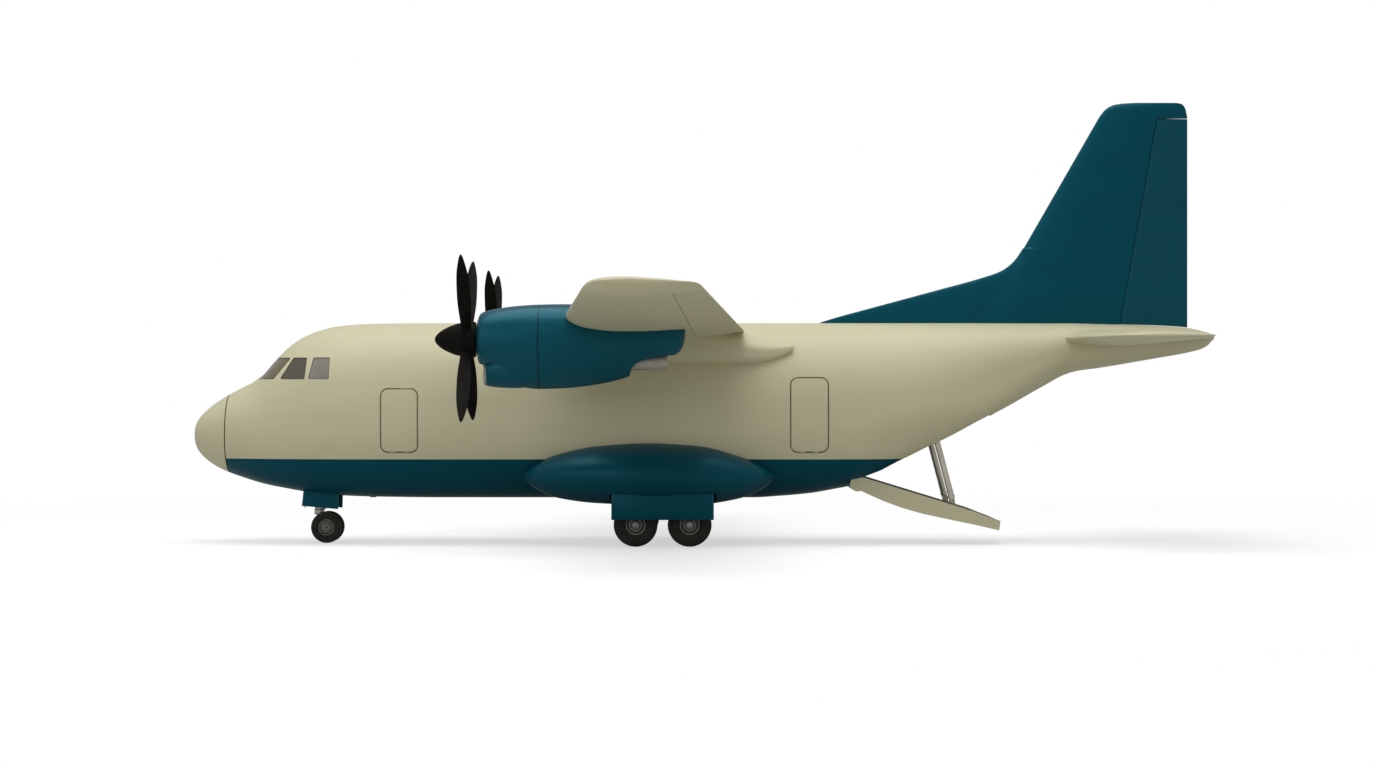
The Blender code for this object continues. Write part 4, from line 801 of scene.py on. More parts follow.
def points_object(name, points):
    """Loose vertices that carry the direction each one faces, from (place, facing) pairs."""
    mesh = bpy.data.meshes.new(name)
    mesh.from_pydata([tuple(place) for place, _ in points], [], [])
    facing = mesh.attributes.new("facing", "FLOAT_VECTOR", "POINT")
    facing.data.foreach_set("vector", [value for _, way in points for value in way])
    obj = bpy.data.objects.new(name, mesh)
    bpy.context.scene.collection.objects.link(obj)
    return obj


def bolts(name, points, body, finish, radius, height):
    """Bolts at points, as one piece on one body."""
    obj = points_object(name, points)
    run_tree(obj, BOLTS, {"Radius": radius, "Height": height, "Finish": finish})
    return show(obj, body, finish)


def lugs(name, points, body, finish, size):
    """Small blocks at points, as one piece on one body."""
    obj = points_object(name, points)
    run_tree(obj, LUGS, {"Size": size, "Finish": finish})
    return show(obj, body, finish)


def ring_points(centre, radius, count, axis, offset=0.0):
    """Points round an axle, facing along it."""
    axis = Vector(axis).normalized()
    side = axis.orthogonal().normalized()
    points = []
    for i in range(count):
        spoke = Matrix.Rotation(2.0 * math.pi * i / count + offset, 3, axis) @ side
        points.append((Vector(centre) + spoke * radius, axis))
    return points


print("trees:", ", ".join(tree.name for tree in (BOLTS, LUGS, BLADES)))

# %% [markdown]
# ## The hull's table
# The same stations as in the frame: distance aft, top, bottom, half-width, height of the widest
# line, and how square the upper and the lower half are. Distances are read by their square root
# from the nose, so the stations bunch up there and the nose comes out round.

# %% Hull stations
NOSE_TIP_X = -12.75
TAIL_TIP = Vector((12.75, 0.0, 5.13))
TAIL_END = 12.69
WALL = 0.09
RING = 112
HULL = (
    (NOSE_TIP_X, 2.70, 2.70, 0.0, 2.70, 2.0, 2.0),
    (-12.70, 2.985, 2.39, 0.30, 2.70, 2.0, 2.0),
    (-12.53, 3.225, 2.15, 0.545, 2.68, 2.0, 2.0),
    (-12.26, 3.457, 1.94, 0.77, 2.67, 2.0, 2.0),
    (-11.96, 3.655, 1.785, 0.96, 2.66, 2.05, 2.05),
    (-11.50, 3.897, 1.62, 1.19, 2.68, 2.1, 2.1),
    (-11.12, 4.105, 1.50, 1.345, 2.70, 2.15, 2.15),
    (-10.74, 4.52, 1.41, 1.475, 2.75, 2.2, 2.2),
    (-10.415, 4.85, 1.35, 1.57, 2.80, 2.2, 2.2),
    (-10.09, 5.09, 1.29, 1.65, 2.85, 2.25, 2.25),
    (-9.655, 5.28, 1.23, 1.74, 2.92, 2.25, 2.3),
    (-9.17, 5.40, 1.185, 1.81, 2.98, 2.3, 2.3),
    (-8.52, 5.455, 1.155, 1.88, 3.05, 2.3, 2.35),
    (-7.70, 5.475, 1.14, 1.93, 3.12, 2.35, 2.4),
    (-6.60, 5.48, 1.13, 1.95, 3.20, 2.35, 2.4),
    (1.20, 5.48, 1.13, 1.95, 3.20, 2.35, 2.4),
    (1.875, 5.48, 1.17, 1.95, 3.20, 2.35, 2.5),
    (2.59, 5.48, 1.235, 1.945, 3.22, 2.35, 2.6),
    (3.31, 5.48, 1.36, 1.94, 3.25, 2.35, 2.75),
    (3.67, 5.48, 1.43, 1.93, 3.28, 2.35, 2.85),
    (4.22, 5.48, 1.52, 1.91, 3.36, 2.35, 2.45),
    (4.75, 5.48, 1.76, 1.88, 3.46, 2.35, 2.3),
    (5.35, 5.48, 2.09, 1.82, 3.60, 2.35, 2.4),
    (6.63, 5.48, 2.93, 1.61, 4.05, 2.35, 4.5),
    (7.06, 5.48, 3.175, 1.515, 4.215, 2.35, 5.6),
    (7.60, 5.48, 3.455, 1.39, 4.40, 2.35, 4.4),
    (8.33, 5.48, 3.855, 1.22, 4.62, 2.3, 3.2),
    (9.09, 5.48, 4.235, 1.04, 4.85, 2.3, 2.6),
    (9.35, 5.475, 4.295, 0.98, 4.865, 2.3, 2.4),
    (9.77, 5.465, 4.35, 0.88, 4.90, 2.3, 2.3),
    (11.20, 5.42, 4.59, 0.61, 5.00, 2.2, 2.2),
    (12.065, 5.36, 4.745, 0.46, 5.05, 2.1, 2.1),
    (12.495, 5.27, 4.87, 0.36, 5.08, 2.0, 2.0),
    (TAIL_END, 5.20, 5.06, 0.22, 5.13, 2.0, 2.0),
)
HULL_BY_ROOT = [(math.sqrt(row[0] - NOSE_TIP_X), *row[1:]) for row in HULL]


def hull_row(x):
    """Top, bottom, half-width, widest line and squareness at a station."""
    return row_at(HULL_BY_ROOT, math.sqrt(max(0.0, x - NOSE_TIP_X)))


def hull_ring(x, inset=0.0, count=RING):
    """The hull's outline at a station, drawn in by an inset."""
    top, bottom, half, mid, upper, lower = hull_row(x)
    return oval(x, 0.0, mid, top - inset, bottom + inset, half - inset, upper, lower, count)


def hull_body(name, start, end, inset=0.0, step=0.16, count=RING, nose=None, tail=None, index=0):
    """A solid length of the hull."""
    rings = [hull_ring(x, inset, count) for x in spaced(start, end, step)]
    return loft(name, rings, nose, tail, index)


def hull_seat(start, end, step=0.3, index=INNER):
    """A length of the hull a hair larger, to trim what sits on the skin."""
    return hull_body("seat", start, end, -HAIR, step, index=index)


# %% [markdown]
# ## Openings in the skin
# Doors, panes, the nose gear bay, the seat for the wing and the rear opening are all cut from
# one continuous skin, because a real hull's seams are nearly invisible. Each outline is drawn in
# side view and pushed through the side.

# %% Openings
DOORS = (
    ("front_door", -7.93, -7.00, 2.28, 3.86),
    ("rear_door", 2.06, 3.01, 2.28, 4.13),
)
DOOR_CORNER = 0.19
DOOR_CLEARANCE = 0.008
PANE_TOP = 4.61
POST_HALF = 0.045
PANE_CORNER = 0.03
PANES = (
    ("front", ((-11.6, PANE_SILL), (-10.63, PANE_SILL), (-10.205, PANE_TOP), (-11.6, PANE_TOP))),
    ("middle", ((-10.46, PANE_SILL), (-9.82, PANE_SILL), (-9.785, PANE_TOP), (-10.14, PANE_TOP))),
    ("rear", ((-9.73, PANE_SILL), (-9.21, PANE_SILL), (-9.207, PANE_TOP), (-9.62, PANE_TOP))),
)
WING_SEAM = 1.30
SADDLE_FRONT = -3.95
SADDLE_SILL = 4.80
NOSE_BAY = (-10.02, -9.12, 0.44)
RAMP_HINGE = Vector((3.75, 0.0, 1.50))
RAMP_HALF = 1.20
OPENING_FRONT = 3.55
OPENING_SPLIT = 7.06
CARGO_DOOR_END = 8.96
CARGO_DOOR_WIDTHS = (1.08, 0.62)
FAR_SIDE = 2.4
DOOR_INSIDE = 1.2
PANE_INSIDE = 0.6


def rear_opening(name, half):
    """The hole for the ramp and the cargo door, as a cutter that goes up only into the belly."""
    wide, narrow = CARGO_DOOR_WIDTHS
    edge = 0.01
    split, end = OPENING_SPLIT - edge, CARGO_DOOR_END + edge
    outline = (
        (OPENING_FRONT, -half),
        (split, -half),
        (split, -wide - edge),
        (end, -narrow - edge),
        (end, narrow + edge),
        (split, wide + edge),
        (split, half),
        (OPENING_FRONT, half),
    )
    front = OPENING_FRONT - 0.2
    side = ((front, 0.9), (9.4, 3.4), (9.4, 4.85), (7.0, 4.0), (5.0, 2.75), (3.9, 2.1), (front, 1.9))
    tall = prism(name, outline, 0.9, 5.2, "Z")
    return common(tall, prism("opening_side", side, -FAR_SIDE, FAR_SIDE))


def pane_inside(name):
    """How far from the centreline a pane's cutter starts: the front pair meet at the post."""
    return POST_HALF if name == "front" else PANE_INSIDE


def through_side(start, side):
    """The two ends of a cutter that goes out through one side, in rising order."""
    return sorted((side * start, side * FAR_SIDE))


def skin_openings():
    """Every hole in the skin, gathered as one cutter."""
    outlines = [(rounded(panes, PANE_CORNER), pane_inside(name)) for name, panes in PANES]
    outlines += [(rounded(box_outline(*sizes), DOOR_CORNER), DOOR_INSIDE) for _, *sizes in DOORS]
    holes = []
    for outline, start in outlines:
        for _, side in SIDES:
            holes.append(prism("side_hole", outline, *through_side(start, side), "Y", EDGE))
    x0, x1, half = NOSE_BAY
    holes.append(block("nose_bay", x0, x1, -half, half, 0.9, 1.75, index=EDGE))
    holes.append(block("saddle", SADDLE_FRONT, WING_SEAM, -FAR_SIDE, FAR_SIDE, SADDLE_SILL, 6.2, index=INNER))
    holes.append(rear_opening("rear_opening", RAMP_HALF + 0.01))
    return gather(*holes)


# %% [markdown]
# ## The hull's skin
# One loft from the radome's seam to the tail's tip makes the whole hull without a crease. A
# second, smaller loft is taken out to leave a wall 90 mm thick, then the holes are cut. Shallow
# troughs at the doors' sills clear the hinge knuckles, which turn on a line just inside the
# skin. The boss on each inner wall carries a ramp strut, and the pad underneath takes a jack.

# %% Hull skin
STRUT_TOP = Vector((5.55, 0.0, 3.15))
STRUT_PIN = Vector((6.09, 0.0, 1.09))
STRUT_Y = 1.09
SEAM_WIDTH = 0.028
SEAM_DEPTH = 0.003
KNUCKLE_RADIUS, KNUCKLE_ROOM = 0.011, 0.007
LEAF_SHARES = (0.32, 0.68)
LEAF_HALF, LEAF_ROOM = 0.07, 0.008
HINGE_Y = {"front_door": 1.81309, "rear_door": 1.82271}
HINGE_Z = 2.284


def hinge_lines(door, x0, x1, side, room=0.0):
    """Both ends of each hinge knuckle of a side door."""
    reach, y = LEAF_HALF + room, side * HINGE_Y[door]
    middles = [x0 + (x1 - x0) * share for share in LEAF_SHARES]
    return [((x - reach, y, HINGE_Z), (x + reach, y, HINGE_Z)) for x in middles]


hull_skin = hull_body("hull_skin", RADOME_SEAM + SEAM_WIDTH / 2.0, TAIL_END, 0.0, 0.14, tail=TAIL_TIP)
cut(hull_skin, hull_body("cabin", RADOME_SEAM + 0.08, 12.40, WALL, 0.2, 80, index=INNER))
cut(hull_skin, skin_openings())
for door, x0, x1, *_ in DOORS:
    for _, side in SIDES:
        for ends in hinge_lines(door, x0, x1, side, LEAF_ROOM):
            cut(hull_skin, rod("trough", *ends, KNUCKLE_RADIUS + KNUCKLE_ROOM, 20, index=EDGE))
for name, side in SIDES:
    boss = (STRUT_TOP.x, side * (STRUT_Y + 0.14), STRUT_TOP.z)
    wall = (STRUT_TOP.x, side * 1.66, STRUT_TOP.z)
    weld(hull_skin, rod(f"strut_boss_{name}", boss, wall, 0.10, 32, 0.008, index=INNER))
weld(hull_skin, rod("nose_jack_pad", (-8.30, 0.0, 1.13), (-8.30, 0.0, 1.20), 0.08, 32))
show(
    hull_skin,
    "airframe",
    [hull_paint, lining, dark_rubber],
    ("nose_section", "centre_fuselage", "aft_fuselage", "tail_section", "tail_cone"),
    even=True,
)

# %% [markdown]
# ## The radome
# The nose cap is a shell of plastic in front of the weather radar, so it is a piece of its
# own with a fine dark joint behind it. The joint is a rubber ring set 3 mm below the skin.

# %% Radome
radome_end = RADOME_SEAM - SEAM_WIDTH / 2.0
radome_roots = spaced(0.04, math.sqrt(radome_end - NOSE_TIP_X), 0.03)
radome_rings = [hull_ring(NOSE_TIP_X + root * root) for root in radome_roots]
radome = loft("radome_skin", radome_rings, nose=(NOSE_TIP_X, 0.0, 2.70))
cut(radome, hull_body("radar_room", -12.5, RADOME_SEAM + 0.1, WALL, 0.1, 80, index=INNER))
show(radome, "airframe", [cream_paint, lining], ("radome",))

seam = hull_body("radome_seam", RADOME_SEAM - SEAM_WIDTH, RADOME_SEAM + SEAM_WIDTH, SEAM_DEPTH, 0.02)
cut(seam, hull_body("seam_room", RADOME_SEAM - 0.2, RADOME_SEAM + 0.2, 0.03, 0.1))
show(seam, "airframe", dark_rubber)

# %% [markdown]
# ## Side doors
# Each door is the piece of skin that its hole took away, a clearance smaller all round. Its
# outer 24 mm is a brown rubber seal, which gives the dark rounded outline seen from afar. Panel
# and seal ride on the door's own body, as do the two hinge leaves at the sill. The seal stops
# above the hinge line, so that it doesn't swing into the skin.

# %% Doors
SEAL_WIDTH = 0.024
SEAL_DEPTH = 0.006
SEAL_START = 0.018
LEAF_RISE, LEAF_THICK = 0.004, 0.008


def skin_slab(name, x0, x1, outer, inner, count=RING):
    """A length of the hull's skin between two insets."""
    slab = hull_body(name, x0, x1, outer, 0.08, count)
    return cut(slab, hull_body(f"{name}_room", x0 - 0.2, x1 + 0.2, inner, 0.08, count, index=INNER))


def side_door(name, x0, x1, z0, z1, side_name, side):
    """A door's panel, its seal, and the hinge leaves at its sill."""
    body = f"{name}_body_{side_name}"
    hole = rounded(box_outline(x0, x1, z0, z1), DOOR_CORNER)
    edge = spread(hole, -DOOR_CLEARANCE)
    field = spread(hole, -DOOR_CLEARANCE - SEAL_WIDTH)
    ends = through_side(DOOR_INSIDE, side)
    panel = prism(f"{name}_{side_name}_panel", field, *ends, "Y", EDGE)
    common(panel, skin_slab("door_skin", x0 - 0.3, x1 + 0.3, 0.0, WALL))
    show(panel, body, [cream_paint, lining, seal_rubber], (f"{name}_{side_name}",))
    band = prism(f"{name}_{side_name}_seal", edge, *ends)
    cut(band, prism("field", field, ends[0] - 0.1, ends[1] + 0.1))
    cut(band, block("sill_room", x0 - 0.1, x1 + 0.1, *ends, 2.0, HINGE_Z + SEAL_START))
    common(band, skin_slab("seal_skin", x0 - 0.3, x1 + 0.3, SEAL_DEPTH, WALL - 0.02))
    show(band, body, seal_rubber)
    leaves = []
    out = side * (HINGE_Y[name] + LEAF_RISE)
    for start, end in hinge_lines(name, x0, x1, side):
        leaves.append(rod("knuckle", start, end, KNUCKLE_RADIUS, 20, 0.002))
        strap = (start[0], end[0], out - side * LEAF_THICK, out)
        leaves.append(block("strap", *strap, HINGE_Z, HINGE_Z + 0.05, 0.002))
    show(gather(*leaves, name=f"{name}_{side_name}_hinges"), body, cream_paint)


for door in DOORS:
    both_sides(side_door, *door)

# %% [markdown]
# ## Windscreen
# Six panes sit just inside the skin: three on each side, with the front pair meeting at the
# centre post. Each is cut from a slab that follows the hull, so the glass is curved like the
# nose. A thin rubber gasket stands a few millimetres proud round every pane.

# %% Windscreen
GASKET = 0.008
PANE_SLAB = (-11.3, -9.1)


def glazing():
    """All panes as one piece, and all gaskets as another."""
    glass, rims = [], []
    for name, panes in PANES:
        outline = rounded(panes, PANE_CORNER)
        sight_line = spread(outline, -GASKET)
        start = pane_inside(name)
        glass_start = start + GASKET if name == "front" else start
        sight_start = start + GASKET if name == "front" else start - 0.1
        for _, side in SIDES:
            pane = prism("pane", sight_line, *through_side(glass_start, side))
            glass.append(common(pane, skin_slab("pane_slab", *PANE_SLAB, 0.010, 0.034)))
            rim = prism("gasket", spread(outline, -HAIR), *through_side(start, side))
            cut(rim, prism("sight", sight_line, side * sight_start, side * 3.0))
            rims.append(common(rim, skin_slab("rim_slab", *PANE_SLAB, -0.003, 0.04)))
    show(gather(*glass, name="windscreen_panes"), "airframe", smoked_glass, ("windscreen",))
    show(gather(*rims, name="windscreen_gaskets"), "airframe", dark_rubber)
    post = block("centre_post", -11.3, -10.1, -0.035, 0.035, 4.02, 4.68)
    common(post, skin_slab("post_slab", -11.4, -10.0, -0.016, 0.03))
    show(post, "airframe", cream_paint)


glazing()

# %% [markdown]
# ## Wing sections
# The wing is one straight taper, so two straight lines give its front and rear at any span. Its
# section is the usual smooth aerofoil curve, with points bunched at the nose where it bends
# most. Near the tip the section shortens and thins along an arc, which rounds the tip off.

# %% Wing sections
HALF_SPAN = 13.5
WING_BREAK = 2.05
TIP_START = 12.80
WING_LE, WING_TE = (-3.72, 0.0867), (1.13, -0.0941)
WING_LE_Z, WING_TE_Z = (5.28, 0.052), (5.12, 0.062)
WING_THICK = (0.92, -0.0459)
FLAP_LINE = 0.75
FLAP_SPAN = (2.14, 8.56)
AILERON_SPAN = (8.66, 12.80)
CONTROL_END_GAP = 0.02
CONTROL_GAP = 0.012
EDGE_HALF = 0.008
NOSE_SHARE = 0.985
FOIL_STEPS = 34
TIP_STEPS = 14
TIP_SHAPE = (
    (0.0, 0.0, 1.0, 0.0),
    (0.45, 0.05, 0.96, 0.040),
    (0.80, 0.14, 0.80, 0.075),
    (1.085, 0.27, 0.60, 0.090),
    (1.35, 0.40, 0.36, 0.095),
    (math.pi / 2.0, 0.55, 0.12, 0.095),
)


def foil_half(fraction):
    """Half the thickness of a wing section at a fraction of its chord, for a thickness of one."""
    root = 0.2969 * math.sqrt(fraction)
    rest = -0.1260 * fraction - 0.3516 * fraction**2 + 0.2843 * fraction**3 - 0.1036 * fraction**4
    return 5.0 * (root + rest)


def foil_ring(front, rear, thickness, place):
    """A wing section between two chord ends, each (distance aft, height)."""
    upper, lower = [], []
    for i in range(FOIL_STEPS + 1):
        fraction = 1.0 - math.cos(0.5 * math.pi * i / FOIL_STEPS)
        x = front[0] + (rear[0] - front[0]) * fraction
        z = front[1] + (rear[1] - front[1]) * fraction
        half = foil_half(fraction) * thickness + EDGE_HALF * fraction
        upper.append(place(x, z + half))
        lower.append(place(x, z - half))
    return upper[::-1] + lower[1:]


def hinge_ring(front, rear, thickness, x, place, gap=None):
    """A control surface's section: a round nose on the hinge line, and flat sides to the edge.

    With a gap it is a cutter: the same nose with the gap round it, and all that lies behind.
    """
    fraction = (x - front[0]) / (rear[0] - front[0])
    z = front[1] + (rear[1] - front[1]) * fraction
    radius = (foil_half(fraction) * thickness + EDGE_HALF * fraction) * NOSE_SHARE
    turns = [math.radians(90.0 + 7.5 * i) for i in range(25)]
    if gap is not None:
        radius += gap
        nose = [place(x + radius * math.cos(a), z + radius * math.sin(a)) for a in turns]
        back, depth = rear[0] + 0.6, 0.8
        corners = ((x, z - depth), (back, z - depth), (back, z + depth), (x, z + depth))
        return nose + [place(*corner) for corner in corners]
    slope = math.asin(min(0.5, (radius - EDGE_HALF) / (rear[0] - x)))
    turns = [a for a in turns if a > turns[0] + 0.001 and a < turns[-1] - 0.001]
    turns = [math.radians(90.0) - slope] + turns + [math.radians(270.0) + slope]
    nose = [place(x + radius * math.cos(a), z + radius * math.sin(a)) for a in turns]
    return nose + [place(rear[0], rear[1] - EDGE_HALF), place(rear[0], rear[1] + EDGE_HALF)]


def wing_chord(span):
    """Front and rear of the wing's section at a distance from the centreline, and its thickness."""
    front = (WING_LE[0] + WING_LE[1] * span, WING_LE_Z[0] + WING_LE_Z[1] * span)
    rear = (WING_TE[0] + WING_TE[1] * span, WING_TE_Z[0] + WING_TE_Z[1] * span)
    return front, rear, WING_THICK[0] + WING_THICK[1] * span


def wing_ring(span, side, shorten=0.0, thin=1.0, lift=0.0, grow=0.0):
    """The wing's outline at a distance from the centreline, shortened and lifted at the tip."""
    front, rear, thickness = wing_chord(span)
    front = (front[0] + shorten - grow, front[1] + lift)
    rear = (rear[0] - shorten * 0.7 + grow, rear[1] + lift)
    return foil_ring(front, rear, thickness * thin + 2.0 * grow, lambda x, z: (x, side * span, z))


def wing_control(name, side, start, end, gap=None, index=0):
    """A flap or an aileron of the wing, or its cutter."""
    rings = []
    for span in (start, end):
        front, rear, thickness = wing_chord(span)
        x = front[0] + (rear[0] - front[0]) * FLAP_LINE
        rings.append(hinge_ring(front, rear, thickness, x, lambda u, v: (u, side * span, v), gap))
    return loft(name, rings, index=index)


# %% [markdown]
# ## Outer wings, flaps and ailerons
# Each wing is lofted, and coves for its flap and aileron are cut with the same round-nosed
# section that makes them, a gap larger. The moving surfaces ride on their own bodies.

# %% Outer wings
WING_PAD = (-2.0, 2.75)


def outer_wing(name, side):
    """One wing with its coves, its flap and its aileron."""
    rings = [wing_ring(span, side) for span in spaced(WING_BREAK, TIP_START, 1.6)]
    for i in range(1, TIP_STEPS + 1):
        turn = 0.5 * math.pi * i / TIP_STEPS
        span = TIP_START + (HALF_SPAN - TIP_START) * math.sin(turn)
        rings.append(wing_ring(span, side, *row_at(TIP_SHAPE, turn)))
    wing = loft(f"wing_skin_{name}", rings)
    for control, (start, end) in (("flap", FLAP_SPAN), ("aileron", AILERON_SPAN)):
        room = (start - CONTROL_END_GAP, end + CONTROL_END_GAP)
        cut(wing, wing_control("cove", side, *room, CONTROL_GAP, INNER))
        surface = wing_control(f"{control}_skin_{name}", side, start, end)
        show(surface, f"{control}_body_{name}", wing_paint, (f"{control}_{name}",))
    x, y = WING_PAD[0], side * WING_PAD[1]
    weld(wing, rod("jack_pad", (x, y, 4.93), (x, y, 5.2), 0.07, 32, index=INNER))
    show(wing, "airframe", [wing_paint, cream_paint], (f"wing_{name}",))


both_sides(outer_wing)

# %% [markdown]
# ## Wing centre and its fairing
# Where the wing sits on the hull, a smooth blister hides the joint: it rises ahead of the wing,
# hangs down over the hull's shoulders, and fades out behind. It is an oval loft like the hull,
# joined to the wing's middle and trimmed to the skin below it. The hull's crown is part of the
# same piece above the seat, where the blister has already dropped below it.

# %% Wing centre
FAIRING = (
    (-4.60, 5.22, 5.18, 0.02),
    (-4.45, 5.42, 5.00, 1.30),
    (-4.05, 5.62, 4.62, 1.72),
    (-3.20, 5.86, 4.42, 1.98),
    (-2.00, 5.90, 4.36, 2.03),
    (-0.60, 5.78, 4.35, 2.03),
    (0.20, 5.62, 4.35, 2.02),
    (0.60, 5.46, 4.35, 2.00),
    (1.00, 5.28, 4.36, 1.96),
    (1.30, 5.19, 4.395, 1.90),
    (1.65, 5.13, 4.465, 1.81),
    (1.95, 5.08, 4.585, 1.73),
    (2.08, 5.04, 4.67, 1.69),
    (2.14, 5.00, 4.76, 1.66),
)


def fairing_ring(x):
    """The fairing's outline at a station, with its ends rounded off."""
    top, low, half = row_at(FAIRING, x)
    mid = low + (top - low) * 0.42
    return oval(x, 0.0, mid, top, low, half, 2.6, 4.0, 120)


wing_centre = loft("wing_centre_skin", [wing_ring(WING_BREAK - HAIR, side) for _, side in SIDES])
blister = [fairing_ring(x) for x in spaced(FAIRING[0][0], FAIRING[-1][0], 0.09)]
weld(wing_centre, loft("fairing", blister))
crown = hull_body("crown", SADDLE_FRONT + 2.0 * HAIR, WING_SEAM - HAIR, 0.0, 0.14)
crown_room = block("crown_room", -5.0, 2.0, -FAR_SIDE, FAR_SIDE, SADDLE_SILL + HAIR, 6.0)
weld(wing_centre, common(crown, crown_room))
seat = hull_seat(-5.2, 2.6)
saddle = (SADDLE_FRONT + 2.0 * HAIR, WING_SEAM, -FAR_SIDE, FAR_SIDE, SADDLE_SILL, 6.3)
cut(wing_centre, cut(seat, block("saddle_room", *saddle, index=INNER)))
show(wing_centre, "airframe", [wing_paint, lining], ("wing_centre",), even=True)

# %% [markdown]
# ## Nacelles
# Each engine cowl is an oval barrel that tapers back under the wing, with a chin scoop below its
# front for the air intake. Barrel and scoop are two lofts joined into one, so a crease runs
# between them and fades out. The wing, grown by a hair, is taken out of the top.

# %% Nacelles
ENGINE_Y = 4.70
HUB = Vector((-5.60, 0.0, 5.00))
NACELLE = (
    (-5.355, 5.36, 4.60, 0.37, 4.97),
    (-5.345, 5.44, 4.54, 0.43, 4.97),
    (-5.32, 5.53, 4.46, 0.50, 4.97),
    (-5.28, 5.60, 4.40, 0.555, 4.97),
    (-5.20, 5.65, 4.36, 0.59, 4.97),
    (-5.06, 5.69, 4.31, 0.61, 4.97),
    (-4.85, 5.73, 4.20, 0.63, 4.96),
    (-4.50, 5.78, 3.93, 0.66, 4.95),
    (-3.91, 5.82, 3.84, 0.68, 4.94),
    (-3.30, 5.83, 3.86, 0.68, 4.95),
    (-2.60, 5.80, 3.94, 0.67, 4.98),
    (-1.90, 5.72, 4.10, 0.62, 5.02),
    (-1.30, 5.58, 4.40, 0.50, 5.08),
    (-0.905, 5.47, 4.55, 0.38, 5.12),
    (-0.67, 5.40, 4.67, 0.27, 5.14),
    (-0.56, 5.34, 4.80, 0.20, 5.15),
    (-0.50, 5.27, 4.97, 0.12, 5.15),
    (-0.48, 5.20, 5.09, 0.05, 5.15),
)
SCOOP = (
    (-5.18, 4.475, 3.94, 0.33),
    (-5.10, 4.53, 3.91, 0.37),
    (-4.85, 4.68, 3.875, 0.43),
    (-4.50, 4.80, 3.86, 0.48),
    (-3.91, 4.80, 3.90, 0.48),
)
MOUTH = (3.985, 4.435, 0.285)
MOUTH_CORNER = 0.17
COWL_MARKS = [row[0] for row in NACELLE[:5]] + spaced(-5.05, -0.75, 0.11)
COWL_MARKS += [-0.67, -0.61, -0.56, -0.53, -0.51, -0.495, -0.485, -0.48]
LIP = ((-5.196, -0.022), (-5.19, -0.008), (-5.175, 0.002), (-5.13, 0.003))
DUCT_END = -4.62
COWL_FRONT = -5.6
EXHAUST_Z = 4.46
EXHAUST_END = -0.91
EXHAUST_RADIUS = 0.18
PIPE_NOTCH = (
    (-1.80, 3.9),
    (-1.79, 4.20),
    (-1.74, 4.33),
    (-1.64, 4.43),
    (-1.48, 4.515),
    (-1.25, 4.575),
    (-0.95, 4.62),
    (-0.60, 4.64),
    (-0.60, 3.9),
)


def scoop_ring(x, y, grow=0.0):
    """The chin scoop's outline at a station."""
    top, low, half = row_at(SCOOP, x)
    return oval(x, y, (top + low) / 2.0, top + grow, low - grow, half + grow, 2.6, 2.6, 64)


def nacelle(name, side):
    """One cowl with its scoop, intake lip and duct."""
    y = side * ENGINE_Y
    rings = []
    for x in COWL_MARKS:
        top, low, half, mid = row_at(NACELLE, x)
        rings.append(oval(x, y, mid, top, low, half, 2.2, 1.9, 96))
    cowl = loft(f"cowl_{name}", rings)
    weld(cowl, loft("scoop", [scoop_ring(x, y) for x in spaced(SCOOP[0][0], SCOOP[-1][0], 0.08)]))
    cut(cowl, rod("shaft_well", (COWL_FRONT, y, HUB.z), (-4.9, y, HUB.z), 0.30, 64, index=INNER))
    low, high, half = MOUTH
    mouth = rounded(box_outline(y - half, y + half, low, high), MOUTH_CORNER, 8)
    cut(cowl, prism("duct", mouth, COWL_FRONT, DUCT_END, "X", INNER))
    wing_rings = [wing_ring(ENGINE_Y + away, side, grow=0.0006) for away in (-1.2, 1.2)]
    cut(cowl, loft("wing_room", wing_rings, index=INNER))
    ends = ((-2.4, y, EXHAUST_Z), (-0.4, y, EXHAUST_Z))
    cut(cowl, rod("pipe_hole", *ends, EXHAUST_RADIUS + 0.012, 48, index=INNER))
    cut(cowl, prism("pipe_notch", PIPE_NOTCH, y - 0.9, y + 0.9, "Y", INNER))
    show(cowl, "airframe", [cowl_paint, dark_duct], (f"nacelle_{name}",), even=True)
    lip = loft(f"intake_lip_{name}", [scoop_ring(x, y, grow) for x, grow in LIP])
    cut(lip, prism("mouth", spread(mouth, -0.006), COWL_FRONT, -4.9, "X"))
    show(lip, "airframe", lip_metal)


both_sides(nacelle)

# %% [markdown]
# ## Jet pipes and gearbox noses
# The turbine's exhaust leaves through a pipe under the nacelle's tail. The pipe is a turned wall
# with a rolled rim, open at the back. The gearbox nose fills the well behind the spinner.

# %% Engines
PIPE_WALL = 0.012
PIPE_START = -3.0
PLUG = ((0.0, 0.0), (0.0, 0.06), (0.35, 0.055), (0.62, 0.02), (0.66, 0.0))
GEARBOX = ((0.0, 0.0), (0.0, 0.10), (0.02, 0.17), (0.05, 0.24), (0.12, 0.26), (0.70, 0.26), (0.70, 0.0))


